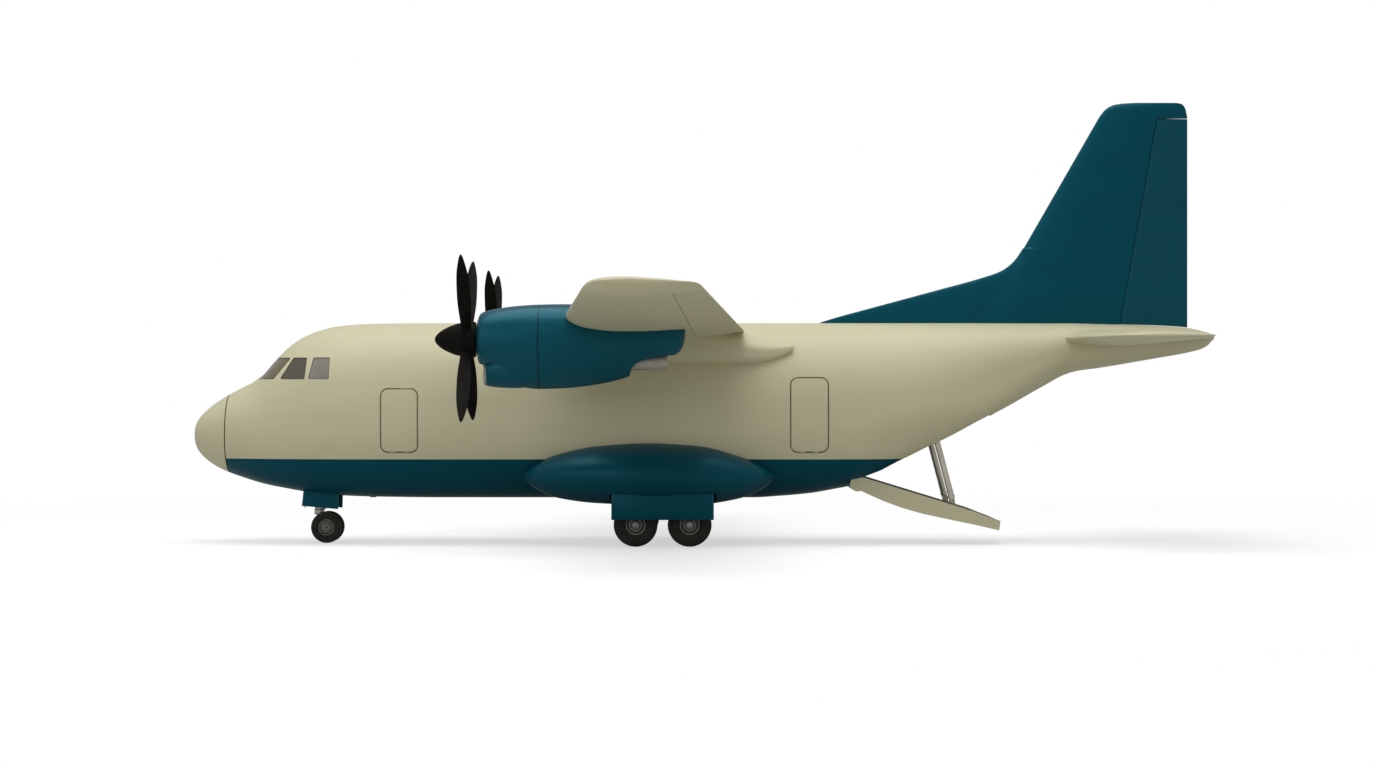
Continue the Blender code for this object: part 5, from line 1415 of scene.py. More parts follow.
def engine(name, side):
    """The gearbox nose, the block behind it, and the jet pipe, as one piece."""
    y = side * ENGINE_Y
    out, inn = EXHAUST_RADIUS, EXHAUST_RADIUS - PIPE_WALL
    length = EXHAUST_END - PIPE_START
    profile = [(0.0, out), (length - 0.03, out), (length - 0.02, out + 0.006), (length - 0.005, out + 0.006)]
    profile += [(length, out), (length, inn), (0.02, inn - 0.01)]
    pipe = turned(f"jet_pipe_{name}", profile, (PIPE_START, y, EXHAUST_Z), (1, 0, 0), 64, ring=True)
    core = turned("plug", PLUG, (-1.6, y, EXHAUST_Z), (1, 0, 0), 40)
    wall = rod("pipe_floor", (-1.64, y, EXHAUST_Z), (-1.6, y, EXHAUST_Z), inn - 0.002, 40)
    gearbox = turned("gearbox", GEARBOX, (-5.30, y, HUB.z), (1, 0, 0), 48)
    body = block("engine_core", -4.55, -3.75, y - 0.37, y + 0.37, 4.34, 5.32, 0.03)
    parts = gather(pipe, core, wall, gearbox, body)
    show(parts, "airframe", exhaust_metal, (f"engine_{name}",))


both_sides(engine)

# %% [markdown]
# ## Propellers
# A blade is a loft of aerofoil sections that narrow and twist from root to tip. These stand
# nearly feathered, edge on to the air, as they do when the engine is stopped. One blade is
# made at twelve o'clock, and a tree places four round the hub, so each sits at 45 degrees.

# %% Propellers
SPINNER = (
    (-5.385, 0.0),
    (-5.385, 0.395),
    (-5.39, 0.407),
    (-5.40, 0.411),
    (-5.44, 0.411),
    (-5.446, 0.405),
    (-5.452, 0.405),
    (-5.458, 0.410),
    (-5.58, 0.407),
    (-5.655, 0.402),
    (-5.76, 0.389),
    (-5.855, 0.366),
    (-5.945, 0.335),
    (-6.035, 0.297),
    (-6.125, 0.252),
    (-6.195, 0.208),
    (-6.245, 0.170),
    (-6.282, 0.136),
    (-6.31, 0.105),
    (-6.335, 0.07),
    (-6.347, 0.04),
    (-6.355, 0.0),
)
BLADE = (
    (0.22, 0.16, 0.13, 86.0),
    (0.34, 0.205, 0.115, 85.5),
    (0.42, 0.236, 0.10, 85.0),
    (0.63, 0.264, 0.08, 84.0),
    (1.00, 0.312, 0.062, 83.0),
    (1.31, 0.328, 0.052, 82.0),
    (1.70, 0.314, 0.042, 80.0),
    (2.05, 0.28, 0.033, 78.0),
    (2.40, 0.185, 0.024, 76.0),
    (2.60, 0.103, 0.016, 75.0),
    (2.67, 0.06, 0.011, 75.0),
    (2.70, 0.015, 0.006, 75.0),
)
BLADE_POINTS = 28
BLADE_COUNT = 4
SCREW_SHIFT = Vector((0.17, 0.0, 0.0))


def blade_ring(out):
    """A blade's section at a radius: thick at its leading edge, and sharp behind."""
    chord, thickness, twist = row_at(BLADE, out)
    lean = Matrix.Rotation(math.radians(twist), 3, "Z")
    ring = []
    for i in range(BLADE_POINTS):
        turn = 2.0 * math.pi * i / BLADE_POINTS
        u = 0.5 * math.cos(turn)
        v = 0.5 * math.sin(turn) * (1.0 - 0.45 * math.cos(turn + math.pi)) * 0.85
        spun = lean @ Vector((v * thickness, u * chord, 0.0))
        ring.append(Vector((spun.x, spun.y, out)))
    return ring


def propeller(name, side):
    """Spinner and four blades, turning on the engine's axis."""
    body = f"propeller_body_{name}"
    centre = Vector((HUB.x, side * ENGINE_Y, HUB.z))
    profile = [(x - HUB.x, radius) for x, radius in SPINNER]
    spinner = turned(f"propeller_hub_{name}", profile, centre, (1, 0, 0), 80)
    shaft = rod("shaft", (-5.39, centre.y, centre.z), (-5.302, centre.y, centre.z), 0.10, 40)
    marks = spaced(0.22, 2.40, 0.07) + [2.45, 2.5, 2.55, 2.6, 2.63, 2.655, 2.675, 2.69, 2.70]
    blade = loft(f"propeller_blades_{name}", [blade_ring(out) for out in marks])
    run_tree(blade, BLADES, {"Count": BLADE_COUNT, "Centre": tuple(centre), "Finish": blade_black})
    cuffs = []
    for i in range(BLADE_COUNT):
        way = Matrix.Rotation(math.radians(45.0 + 90.0 * i), 3, "X") @ Vector((0.0, 0.0, 1.0))
        cuffs.append(rod(f"cuff_{i}", centre + way * 0.33, centre + way * 0.425, 0.125, 40, 0.012))
    prop = gather(blade, spinner, shaft, *cuffs)
    show(prop, body, blade_black, (f"propeller_{name}",))
    screws = ring_points(centre + SCREW_SHIFT, 0.4, 24, (1, 0, 0), 0.13)
    rim = [(place, (place - centre - SCREW_SHIFT).normalized()) for place, _ in screws]
    bolts(f"spinner_screws_{name}", rim, body, blade_black, 0.009, 0.022)


both_sides(propeller)

# %% [markdown]
# ## Fin and rudder
# The fin is a tapered aerofoil with a square-rounded top. A long dorsal ridge runs up into its
# leading edge from the hull's crown. Both are one body of level sections: the half-thickness is
# the root of the two squares, so the ridge flows into the fin without a crease. The rudder turns
# about a line that leans back a little less than the fin's front.

# %% Fin and rudder
FIN_TE = 12.06
FIN_LOW, FIN_HIGH = (5.15, 6.70, 0.50), (10.62, 9.85, 0.24)
FIN_CAP = (
    (10.62, 9.85, 12.06, 0.24),
    (10.82, 10.01, 12.02, 0.215),
    (10.93, 10.20, 11.96, 0.15),
    (10.975, 10.45, 11.88, 0.09),
    (10.99, 10.745, 11.80, 0.05),
)
RIDGE = (
    (2.88, 5.50, 0.035),
    (3.375, 5.65, 0.07),
    (3.875, 5.785, 0.09),
    (4.875, 6.055, 0.12),
    (5.875, 6.325, 0.14),
    (6.875, 6.60, 0.16),
    (7.375, 6.772, 0.17),
    (7.60, 6.915, 0.168),
    (7.75, 7.06, 0.162),
    (7.875, 7.235, 0.15),
    (7.965, 7.38, 0.14),
)
RIDGE_BASE = 5.0
RIDGE_FADE = (7.3, 9.4)
FIN_STEPS = 54
RUDDER_HINGE = ((10.445, 5.475), (11.35, 10.585))
RUDDER_GAP = 0.034
RUDDER_FOOT = 5.355
FOOT_CLEARANCE = 0.012
RUDDER_TOP_GAP = 0.02
BRUSH_LOW, BRUSH_HIGH = 0.012, 0.026
CAP_MARKS = (10.62, 10.70, 10.77, 10.83, 10.88, 10.92, 10.95, 10.975, 10.99)


def fin_chord(height):
    """The fin's leading edge and thickness at a height."""
    share = (height - FIN_LOW[0]) / (FIN_HIGH[0] - FIN_LOW[0])
    return FIN_LOW[1] + (FIN_HIGH[1] - FIN_LOW[1]) * share, FIN_LOW[2] + (FIN_HIGH[2] - FIN_LOW[2]) * share


def ridge_front(height):
    """Where the ridge's crest passes a height, found by halving."""
    low, high = RIDGE[0][0], RIDGE[-1][0]
    if height <= RIDGE[0][1]:
        return low
    for _ in range(40):
        middle = (low + high) / 2.0
        if row_at(RIDGE, middle)[0] < height:
            low = middle
        else:
            high = middle
    return high


def ridge_half(x, height):
    """How far the dorsal ridge stands out from the centreline at a place."""
    top, half = row_at(RIDGE, x)
    if x > RIDGE[-1][0]:
        top = 20.0
    share = min(1.0, max(0.0, (height - RIDGE_BASE) / (top - RIDGE_BASE)))
    fade = min(1.0, max(0.0, (RIDGE_FADE[1] - x) / (RIDGE_FADE[1] - RIDGE_FADE[0])))
    return half * (1.0 - share**2) ** (1.0 / 2.6) * fade**2 * (3.0 - 2.0 * fade)


def fin_section(height, edge, trail, thickness, ridge=False):
    """A level section of the fin, with the ridge in it below the place where they meet."""
    front = min(edge, ridge_front(height)) if ridge else edge
    left, right = [], []
    for i in range(FIN_STEPS + 1):
        x = front + (trail - front) * (1.0 - math.cos(0.5 * math.pi * i / FIN_STEPS))
        fraction = min(1.0, max(0.0, (x - edge) / (trail - edge)))
        half = foil_half(fraction) * thickness + EDGE_HALF * fraction
        if ridge:
            half = math.hypot(half, ridge_half(x, height))
        left.append((x, half, height))
        right.append((x, -half, height))
    return left[::-1] + right[1:]


def rudder_section(height, gap=None):
    """A level section of the rudder, or of its cove."""
    (x0, z0), (x1, z1) = RUDDER_HINGE
    edge, thickness = fin_chord(height)
    x = x0 + (x1 - x0) / (z1 - z0) * (height - z0)
    ends = (edge, 0.0), (FIN_TE, 0.0)
    return hinge_ring(*ends, thickness, x, lambda u, side: (u, side, height), gap)


meeting = RIDGE[-1][1]
fin_rings = []
for z in spaced(5.25, meeting, 0.05) + spaced(meeting + 0.1, 10.55, 0.5):
    edge, thickness = fin_chord(z)
    fin_rings.append(fin_section(z, edge, FIN_TE, thickness, z < meeting))
fin_rings += [fin_section(z, *row_at(FIN_CAP, z)) for z in CAP_MARKS]
fin = loft("fin_skin", fin_rings)
low, high = RUDDER_HINGE[0][1], RUDDER_HINGE[1][1]
cove = [rudder_section(z, RUDDER_GAP) for z in (low - 0.5, high + RUDDER_TOP_GAP)]
cut(fin, loft("cove", cove, index=INNER))
cut(fin, hull_seat(2.0, TAIL_END, 0.2))
show(fin, "airframe", [fin_paint, dark_rubber], ("fin",), even=True)

brush = loft("rudder_brush", [rudder_section(high + rise) for rise in (BRUSH_LOW, BRUSH_HIGH)])
show(brush, "airframe", dark_rubber)
rudder = loft("rudder_skin", [rudder_section(z) for z in spaced(RUDDER_FOOT, high, 1.1)])
cut(rudder, hull_body("rudder_clearance", 9.5, TAIL_END, -FOOT_CLEARANCE, 0.1))
show(rudder, "rudder_body", rudder_paint, ("rudder",))

# %% [markdown]
# ## Tailplane and elevators
# Two plain tapered halves stand out from the tail cone, each with an elevator along its back
# edge. The tips round off over the last 20 cm.

# %% Tailplane
TAILPLANE = ((0.15, 8.67, 12.56, 0.42), (5.00, 9.83, 11.88, 0.20))
TAILPLANE_TIP = (
    (5.00, 9.83, 11.88, 0.20),
    (5.12, 9.90, 11.84, 0.13),
    (5.17, 10.01, 11.75, 0.07),
    (5.20, 10.15, 11.62, 0.03),
)
TAILPLANE_Z = 5.10
ELEVATOR_HINGE = 11.17
ELEVATOR_SPAN = (0.74, 4.86)


def straight_row(rows, place):
    """A row of a table of two stations, read along a straight line."""
    share = (place - rows[0][0]) / (rows[1][0] - rows[0][0])
    return [low + (high - low) * share for low, high in zip(rows[0][1:], rows[1][1:])]


def elevator_section(span, side, gap=None):
    """A section of the elevator, or of its cove."""
    edge, trail, thickness = straight_row(TAILPLANE, span)
    ends = (edge, TAILPLANE_Z), (trail, TAILPLANE_Z)
    return hinge_ring(*ends, thickness, ELEVATOR_HINGE, lambda x, z: (x, side * span, z), gap)


def tailplane(name, side):
    """One half of the tailplane and its elevator."""
    rows = [(span, *straight_row(TAILPLANE, span)) for span in (0.15, 1.8, 3.4, 5.0)]
    rows += [(span, *row_at(TAILPLANE_TIP, span)) for span in (5.06, 5.11, 5.15, 5.18, 5.20)]
    rings = []
    for span, edge, trail, thickness in rows:
        ends = (edge, TAILPLANE_Z), (trail, TAILPLANE_Z)
        rings.append(foil_ring(*ends, thickness, lambda x, z: (x, side * span, z)))
    half = loft(f"tailplane_{name}", rings)
    room = (ELEVATOR_SPAN[0] - CONTROL_END_GAP, ELEVATOR_SPAN[1] + CONTROL_END_GAP)
    cut(half, loft("cove", [elevator_section(span, side, CONTROL_GAP) for span in room], index=INNER))
    cut(half, hull_seat(8.0, TAIL_END, 0.2))
    show(half, "airframe", [wing_paint, cream_paint], (f"stabiliser_{name}",))
    elevator = loft(f"elevator_skin_{name}", [elevator_section(span, side) for span in ELEVATOR_SPAN])
    show(elevator, "elevators", wing_paint, (f"elevator_{name}",))


both_sides(tailplane)

# %% [markdown]
# ## Sponsons
# The blisters low on the hull hold the main wheels. Each is an oval loft drawn to a point at
# both ends, trimmed where it meets the hull, with a deep well cut up into it for the wheels.

# %% Sponsons
SPONSON_Y = 1.55
SPONSON_MID = 1.715
SPONSON = (
    (-4.50, 1.73, 1.69, 1.55),
    (-4.42, 1.81, 1.62, 1.66),
    (-4.20, 1.98, 1.43, 2.00),
    (-3.60, 2.27, 1.17, 2.34),
    (-2.60, 2.48, 1.04, 2.62),
    (-1.40, 2.55, 1.00, 2.75),
    (-0.20, 2.48, 1.01, 2.69),
    (0.80, 2.22, 1.15, 2.40),
    (1.40, 1.95, 1.39, 2.05),
    (1.66, 1.79, 1.60, 1.68),
    (1.76, 1.74, 1.67, 1.55),
)
WELL = (-2.33, 0.27, 1.63, 2.47, 1.30)


def sponson(name, side):
    """One blister with its wheel well."""
    rings = []
    for x in spaced(SPONSON[0][0], SPONSON[-1][0], 0.1):
        top, bottom, reach = row_at(SPONSON, x)
        rings.append(oval(x, side * SPONSON_Y, SPONSON_MID, top, bottom, reach - SPONSON_Y, 2.0, 2.0, 80))
    body = loft(f"sponson_skin_{name}", rings)
    cut(body, hull_seat(-6.0, 3.0))
    x0, x1, y0, y1, roof = WELL
    cut(body, block("well", x0, x1, side * y0, side * y1, 0.5, roof, index=INNER))
    show(body, "airframe", [teal_paint, dark_duct], (f"sponson_{name}",), even=True)


both_sides(sponson)

# %% [markdown]
# ## Gear doors
# A gear door is two pressed skins with a rolled edge, so it looks like a shallow tray. The main
# doors' upright edges carry thin strips of lighter teal, a painted highlight. The nose doors hang
# a little lower at the back than at the front.

# %% Gear doors
MAIN_DOOR = (-2.28, 0.20, 2.405, 2.465, 0.67)
NOSE_DOOR = (-10.02, -9.12, 0.45, 0.48, 0.85)
DOOR_ROOF = WELL[4] - FINE_HAIR
RIBS, RAILS, NOSE_RIBS = 4, 2, 3


def main_door(name, side):
    """A main gear door with its inner stiffeners, and strips of painted highlight on its upright edges."""
    x0, x1, y0, y1, low = MAIN_DOOR
    y0, y1 = side * y0, side * y1
    parts = [block(f"main_door_{name}", x0, x1, y0 + side * 0.02, y1, low, DOOR_ROOF, 0.012)]
    for i in range(RIBS):
        x = x0 + 0.1 + (x1 - x0 - 0.2) * i / (RIBS - 1)
        depth = (y0, y0 + side * 0.03)
        parts.append(block(f"rib_{i}", x - 0.02, x + 0.02, *depth, low + 0.05, DOOR_ROOF, 0.005))
    for i in range(RAILS):
        z = low + 0.06 + i * 0.24
        depth = (y0 + side * 0.004, y0 + side * 0.03)
        parts.append(block(f"rail_{i}", x0 + 0.06, x1 - 0.06, *depth, z, z + 0.035, 0.005))
    show(gather(*parts), "airframe", teal_paint, (f"main_gear_door_{name}",))
    # Thin strips of lighter teal on the door's upright edges paint the highlight those edges would catch.
    strips = []
    for x in (x0 + 0.012, x1 - 0.026):
        depth = (y1 - side * 0.01, y1 + side * 0.003)
        strips.append(block("strip", x - 0.007, x + 0.007, *depth, low + 0.004, DOOR_ROOF, 0.002))
    show(gather(*strips, name=f"main_door_highlight_strips_{name}"), "airframe", edge_highlight_paint)


def nose_door(name, side):
    """A nose gear door, seated against the hull's underside."""
    x0, x1, y0, y1, low = NOSE_DOOR
    outline = ((x0 + 0.06, 1.5), (x0, low + 0.08), (x1, low), (x1 + 0.02, 1.5))
    door = prism(f"nose_door_{name}", outline, side * y0, side * y1)
    cut(door, hull_seat(-11.5, -8.0, index=0))
    ribs = []
    for i in range(NOSE_RIBS):
        x = x0 + 0.08 + (x1 - x0 - 0.16) * i / (NOSE_RIBS - 1)
        depth = (side * (y0 - 0.012), side * y0 + side * 0.01)
        ribs.append(block(f"rib_{i}", x - 0.015, x + 0.015, *depth, low + 0.04, 1.17, 0.004))
    show(gather(door, *ribs), "airframe", teal_paint, (f"nose_gear_door_{name}",))


for side_name, side in SIDES:
    main_door(side_name, side)
    nose_door(side_name, side)

# %% [markdown]
# ## Wheels
# A tyre's section is turned about its axle: flat beads, bulged walls, a shoulder, and a crown
# with three straight grooves. The small lugs of its tread are blocks at points on the crown.
# The rim is a dark dished wheel with two bright rings, a grey hub disc and a circle of bolts.

# %% Wheels
MAIN_Y = 2.00
MAIN_AXLES = (("front", -1.70), ("rear", -0.385))
MAIN_TYRE = (0.535, 0.245, 0.30)
NOSE_AXLE = -9.43
NOSE_Y = 0.25
NOSE_TYRE = (0.39, 0.20, 0.20)
TYRE_WALL = (
    (0.30, 0.0),
    (0.40, 0.03),
    (0.455, 0.12),
    (0.480, 0.22),
    (0.494, 0.25),
    (0.494, 0.29),
    (0.486, 0.31),
    (0.497, 0.42),
    (0.498, 0.56),
    (0.503, 0.58),
    (0.500, 0.62),
    (0.490, 0.64),
    (0.475, 0.73),
    (0.425, 0.86),
    (0.36, 0.935),
    (0.30, 0.962),
)
GROOVES = (0.20, 0.0, -0.20)
GROOVE_SHAPE = ((0.03, 0.0), (0.02, 0.035), (-0.02, 0.035), (-0.03, 0.0))
CROWN_FALL = 0.42
LUG_ROWS = (0.385, 0.325, -0.325, -0.385)
LUGS_ROUND = 64
LUG_SIZE = (0.016, 0.014, 0.008)
WHEEL_SIDE = (
    (0.45, 0.41),
    (0.30, 0.45),
    (0.24, 0.53),
    (0.24, 0.63),
    (0.16, 0.69),
    (0.14, 0.80),
    (0.20, 0.86),
    (0.29, 0.90),
    (0.31, 0.975),
)
TRIM_RINGS = ((0.235, 0.55, 0.61), (0.293, 0.915, 0.965))
WHEEL_BORE = 0.0509


def tyre_profile(size):
    """A tyre's outline as (along the axle, radius) points. The size is radius, bead and width."""
    radius, bead, width = size
    depth = radius - bead
    half = [(-share * width, bead + depth * reach) for share, reach in TYRE_WALL]
    crown = []
    for groove in GROOVES:
        for offset, drop in GROOVE_SHAPE:
            share = groove + offset
            top = 1.0 - CROWN_FALL * share**2
            crown.append((-share * width, bead + depth * (top - drop)))
    return half + crown + [(-along, out) for along, out in half[::-1]]


def tyre(name, size, centre, body, node):
    """A tyre with its tread lugs."""
    radius, bead, width = size
    mesh = turned(name, tyre_profile(size), centre, (0, 1, 0), 96, ring=True)
    show(mesh, body, tyre_rubber, (node,), 40.0)
    points = []
    for i in range(LUGS_ROUND):
        turn = 2.0 * math.pi * (i + 0.5) / LUGS_ROUND
        way = Vector((math.cos(turn), 0.0, math.sin(turn)))
        for share in LUG_ROWS:
            reach = bead + (radius - bead) * (0.945 - 1.0 * max(0.0, abs(share) - 0.33))
            points.append((Vector(centre) + way * (reach - 0.001) + Vector((0.0, share * width, 0.0)), way))
    lugs(f"{name}_lugs", points, body, lug_rubber, LUG_SIZE)


def wheel_sides(size, hub, middle=0.0):
    """Both dished faces of a rim, from its hub to the tyre's seat and back."""
    _, bead, width = size
    seat = bead - FINE_HAIR
    rows = [(0.45, hub), *((along, out * seat) for along, out in WHEEL_SIDE), (0.30, seat)]
    near, far = ([(middle + way * share * width, out) for share, out in rows] for way in (-1, 1))
    return near + far[::-1]


def wheel_trim(name, size, hub, centres, body):
    """Each wheel's bright rings and grey hub disc, on both faces, and its bolts."""
    _, bead, width = size
    rings, discs, points = [], [], []
    for centre in centres:
        for way in (-1, 1):
            outward = Vector((0.0, way, 0.0))
            for share, inner, outer in TRIM_RINGS:
                low, high = share * width, share * width + 0.006
                inner, outer = inner * bead, outer * bead
                profile = ((low, inner), (high, inner + 0.002), (high, outer - 0.002), (low, outer))
                rings.append(turned("ring", profile, centre, outward, 72, ring=True))
            low, high = 0.445 * width, 0.465 * width
            edge = 0.40 * bead
            profile = ((low, hub), (high, hub), (high, edge - 0.004), (high - 0.003, edge), (low, edge))
            discs.append(turned("disc", profile, centre, outward, 64, ring=True))
            points += ring_points(centre + outward * (0.145 * width), 0.745 * bead, 10, (0, way, 0))
    show(gather(*rings, name=f"{name}_rings"), body, rim_bright)
    show(gather(*discs, name=f"{name}_discs"), body, rim_metal)
    bolts(f"{name}_bolts", points, body, rim_metal, 0.036 * bead, 0.012)


def main_wheel(place, x, name, side):
    """A main wheel: rim, trim and tyre."""
    centre = Vector((x, side * MAIN_Y, MAIN_TYRE[0]))
    body = f"main_wheel_{place}_{name}"
    tyre(f"main_tyre_{place}_{name}_tread", MAIN_TYRE, centre, body, f"main_tyre_{place}_{name}")
    end = 0.45 * MAIN_TYRE[2]
    profile = wheel_sides(MAIN_TYRE, WHEEL_BORE + 0.035) + [(end, WHEEL_BORE), (-end, WHEEL_BORE)]
    rim = turned(f"{body}_rim", profile, centre, (0, 1, 0), 80, ring=True)
    show(rim, body, rim_dark, (f"main_rim_{place}_{name}",), 35.0)
    wheel_trim(body, MAIN_TYRE, WHEEL_BORE + 0.002, [centre], body)


for side_name, side in SIDES:
    for place, x in MAIN_AXLES:
        main_wheel(place, x, side_name, side)

# %% [markdown]
# ## Main legs
# One leg on each side carries two wheels in tandem. Its arched beam holds both axles, the post
# rises into the well, and a brace keeps it from folding. Collars, a brake line and bolts give the
# castings their detail.

# %% Main legs
AXLE_RADIUS = 0.05
LEG_Y = 1.74
LEG_ARCH = ((-0.07, -0.05), (0.06, -0.07), (0.17, -0.03), (0.33, 0.11))
LEG_CREST = ((0.27, 0.25), (0.08, 0.09), (-0.07, 0.06))
ARCH_RISE, CREST_RISE = 0.15, 0.29


def main_leg(name, side):
    """Beam, post, brace, axles and collars, as one piece, and its bolts as another."""
    height, roof = MAIN_TYRE[0], WELL[4] - FINE_HAIR
    y, end = side * LEG_Y, side * (MAIN_Y + 0.15)
    front, rear = MAIN_AXLES[0][1], MAIN_AXLES[1][1]
    middle = (front + rear) / 2.0
    arch = [(front + along, rise) for along, rise in LEG_ARCH]
    crest = [(front + along, rise) for along, rise in LEG_CREST]
    mirrored = [[(2.0 * middle - x, rise) for x, rise in half[::-1]] for half in (arch, crest)]
    outline = [*arch, (middle, ARCH_RISE), *mirrored[0], *mirrored[1], (middle, CREST_RISE), *crest]
    beam = [(x, height + rise) for x, rise in outline]
    parts = [prism(f"main_leg_{name}", beam, y - 0.05, y + 0.05)]
    for label, (x0, z0), (x1, z1), *sizes in (
        ("post", (middle, height + 0.2), (middle, roof), 0.085, 40),
        ("collar_low", (middle, height + 0.28), (middle, height + 0.36), 0.10, 40, 0.012),
        ("collar_high", (middle, roof - 0.10), (middle, roof - 0.02), 0.105, 40, 0.012),
        ("brace", (front + 0.10, height), (middle + 0.02, roof - 0.12), 0.04, 24),
        ("brace_rear", (rear - 0.10, height), (middle - 0.02, roof - 0.12), 0.03, 24),
    ):
        parts.append(rod(label, (x0, y, z0), (x1, y, z1), *sizes))
    beside = y - side * 0.03
    line = ((middle + 0.1, beside, roof - 0.02), (rear - 0.1, beside, height + 0.06))
    parts.append(rod("brake_line", *line, 0.011, 12))
    points = []
    for place, x in MAIN_AXLES:
        inner, outer = y - side * 0.055, y + side * 0.065
        parts.append(rod(f"axle_{place}", (x, y, height), (x, end, height), AXLE_RADIUS, 40, 0.006))
        parts.append(rod(f"boss_{place}", (x, inner, height), (x, outer, height), 0.085, 32, 0.008))
        points += ring_points((x, inner, height), 0.062, 6, (0, -side, 0))
        points.append((Vector((x, end, height)), Vector((0.0, side, 0.0))))
    show(gather(*parts), "airframe", gear_metal, (f"main_gear_leg_{name}",), 35.0)
    bolts(f"main_leg_bolts_{name}", points, "airframe", rim_metal, 0.012, 0.010)


both_sides(main_leg)

# %% [markdown]
# ## Nose gear
# The nose leg stands in its bay, and the fork below it steers about the leg's line. The two
# wheels share one axle that trails behind it, so the wheels follow the way the aeroplane rolls.

# %% Nose gear
STEER_AXIS = -9.62
KNUCKLE = 0.83
LEG_TOP = 2.7997
AXLE = 0.045
nose_height = NOSE_TYRE[0]


def on_axis(name, low, high, radius, *sizes):
    """An upright rod on the steering axis."""
    return rod(name, (STEER_AXIS, 0, low), (STEER_AXIS, 0, high), radius, *sizes)


parts = [on_axis("nose_leg_casting", KNUCKLE, LEG_TOP, 0.105, 48)]
parts.append(on_axis("leg_collar", KNUCKLE, KNUCKLE + 0.09, 0.14, 48, 0.012))
parts.append(on_axis("leg_collar_high", 1.34, 1.44, 0.13, 48, 0.012))
parts.append(block("bay_roof", -10.10, -9.04, -0.50, 0.50, 1.60, 1.63, 0.004))
parts.append(rod("drag_strut", (STEER_AXIS, 0.0, 1.05), (-10.0, 0.0, 1.62), 0.04, 24, 0.004))
for _, side in SIDES:
    jack, lamp = side * 0.13, (STEER_AXIS - 0.13, side * 0.10, 1.22)
    for label, start, end, *sizes in (
        ("drag_link", (-9.98, side * 0.05, 1.60), (-9.98, side * 0.22, 1.60), 0.03, 20, 0.004),
        ("steer_jack", (-9.55, jack, 1.02), (-9.35, jack, 1.02), 0.032, 20, 0.005),
        ("jack_arm", (STEER_AXIS, side * 0.03, 1.02), (-9.50, jack, 1.02), 0.02, 16, 0.003),
        ("lamp", lamp, (lamp[0] - 0.06, *lamp[1:]), 0.05, 32, 0.008, 0, 0.065),
        ("lamp_arm", (STEER_AXIS, side * 0.05, 1.24), (lamp[0] + 0.02, *lamp[1:]), 0.018, 16),
    ):
        parts.append(rod(label, start, end, *sizes))
show(gather(*parts), "airframe", gear_metal, ("nose_gear_leg",), 35.0)

foot = Vector((NOSE_AXLE, 0.0, nose_height))
parts = [on_axis("nose_fork_casting", KNUCKLE - 0.14, KNUCKLE - FINE_HAIR, 0.085, 40, 0.006)]
head = (STEER_AXIS - 0.14, STEER_AXIS + 0.10, -0.07, 0.07, KNUCKLE - 0.13, KNUCKLE - 0.001)
parts.append(block("fork_head", *head, 0.015))
arm_start, arm_end = (STEER_AXIS + 0.01, 0, KNUCKLE - 0.09), foot + Vector((-0.03, 0.0, 0.09))
parts.append(rod("trailing_arm", arm_start, arm_end, 0.055, 28))
half_eye = [(-0.06, AXLE + 0.0009), (-0.06, 0.09), (-0.055, 0.095)]
profile = half_eye + [(-along, out) for along, out in half_eye[::-1]]
parts.append(turned("axle_eye", profile, foot, (0, 1, 0), 48, ring=True))
for _, side in SIDES:
    arm_end = foot + Vector((-0.02, side * 0.045, 0.09))
    parts.append(rod("fork_arm", (STEER_AXIS + 0.02, side * 0.07, KNUCKLE - 0.10), arm_end, 0.02, 20))
show(gather(*parts), "nose_fork", gear_metal, ("nose_gear_fork",), 35.0)

reach = NOSE_Y + 0.10
seat_end = 0.45 * NOSE_TYRE[2]
profile = [(-reach, 0.0), (-reach, AXLE - 0.006), (-reach + 0.006, AXLE)]
for _, side in SIDES:
    middle = side * NOSE_Y
    sides = wheel_sides(NOSE_TYRE, AXLE + 0.02, middle)
    profile += [(middle - seat_end, AXLE), *sides, (middle + seat_end, AXLE)]
profile += [(reach - 0.006, AXLE), (reach, AXLE - 0.006), (reach, 0.0)]
rims = turned("nose_wheel_rims", profile, foot, (0, 1, 0), 72)
show(rims, "nose_wheels", rim_dark, ("nose_rims",), 35.0)
centres = [foot + Vector((0.0, side * NOSE_Y, 0.0)) for _, side in SIDES]
wheel_trim("nose_wheel", NOSE_TYRE, AXLE + 0.001, centres, "nose_wheels")
for (side_name, _), centre in zip(SIDES, centres):
    tyre(f"nose_tyre_{side_name}_tread", NOSE_TYRE, centre, "nose_wheels", f"nose_tyre_{side_name}")

# %% [markdown]
# ## Loading ramp
# The ramp is the piece of belly behind the hinge, let down to the ground. Its underside follows
# the hull's own line turned down through the same angle, its top is a flat deck with cleats for
# grip, and it turns on a drum at the end of the cabin floor.

# %% Ramp
RAMP_DRUM = 0.185
RAMP_TOP = ((3.81, 1.678), (3.93, 1.648), (6.63, 0.82), (7.26, 0.575))
RAMP_UNDERSIDE = (
    (7.235, 0.355),
    (6.694, 0.482),
    (6.079, 0.610),
    (5.342, 0.769),
    (4.850, 0.908),
    (4.389, 1.077),
    (4.081, 1.215),
    (3.830, 1.330),
    (3.650, 1.405),
    (3.600, 1.445),
    (3.640, 1.540),
)
RAIL_WIDTH = 0.05
DECK_THICK, RAIL_THICK, DECK_SUNK = 0.008, 0.014, 0.004
CLEAT_ROWS, CLEAT_COLUMNS, CLEAT_PITCH = 17, 9, 0.24
CLEAT_SIZE = (0.03, 0.18, 0.014)

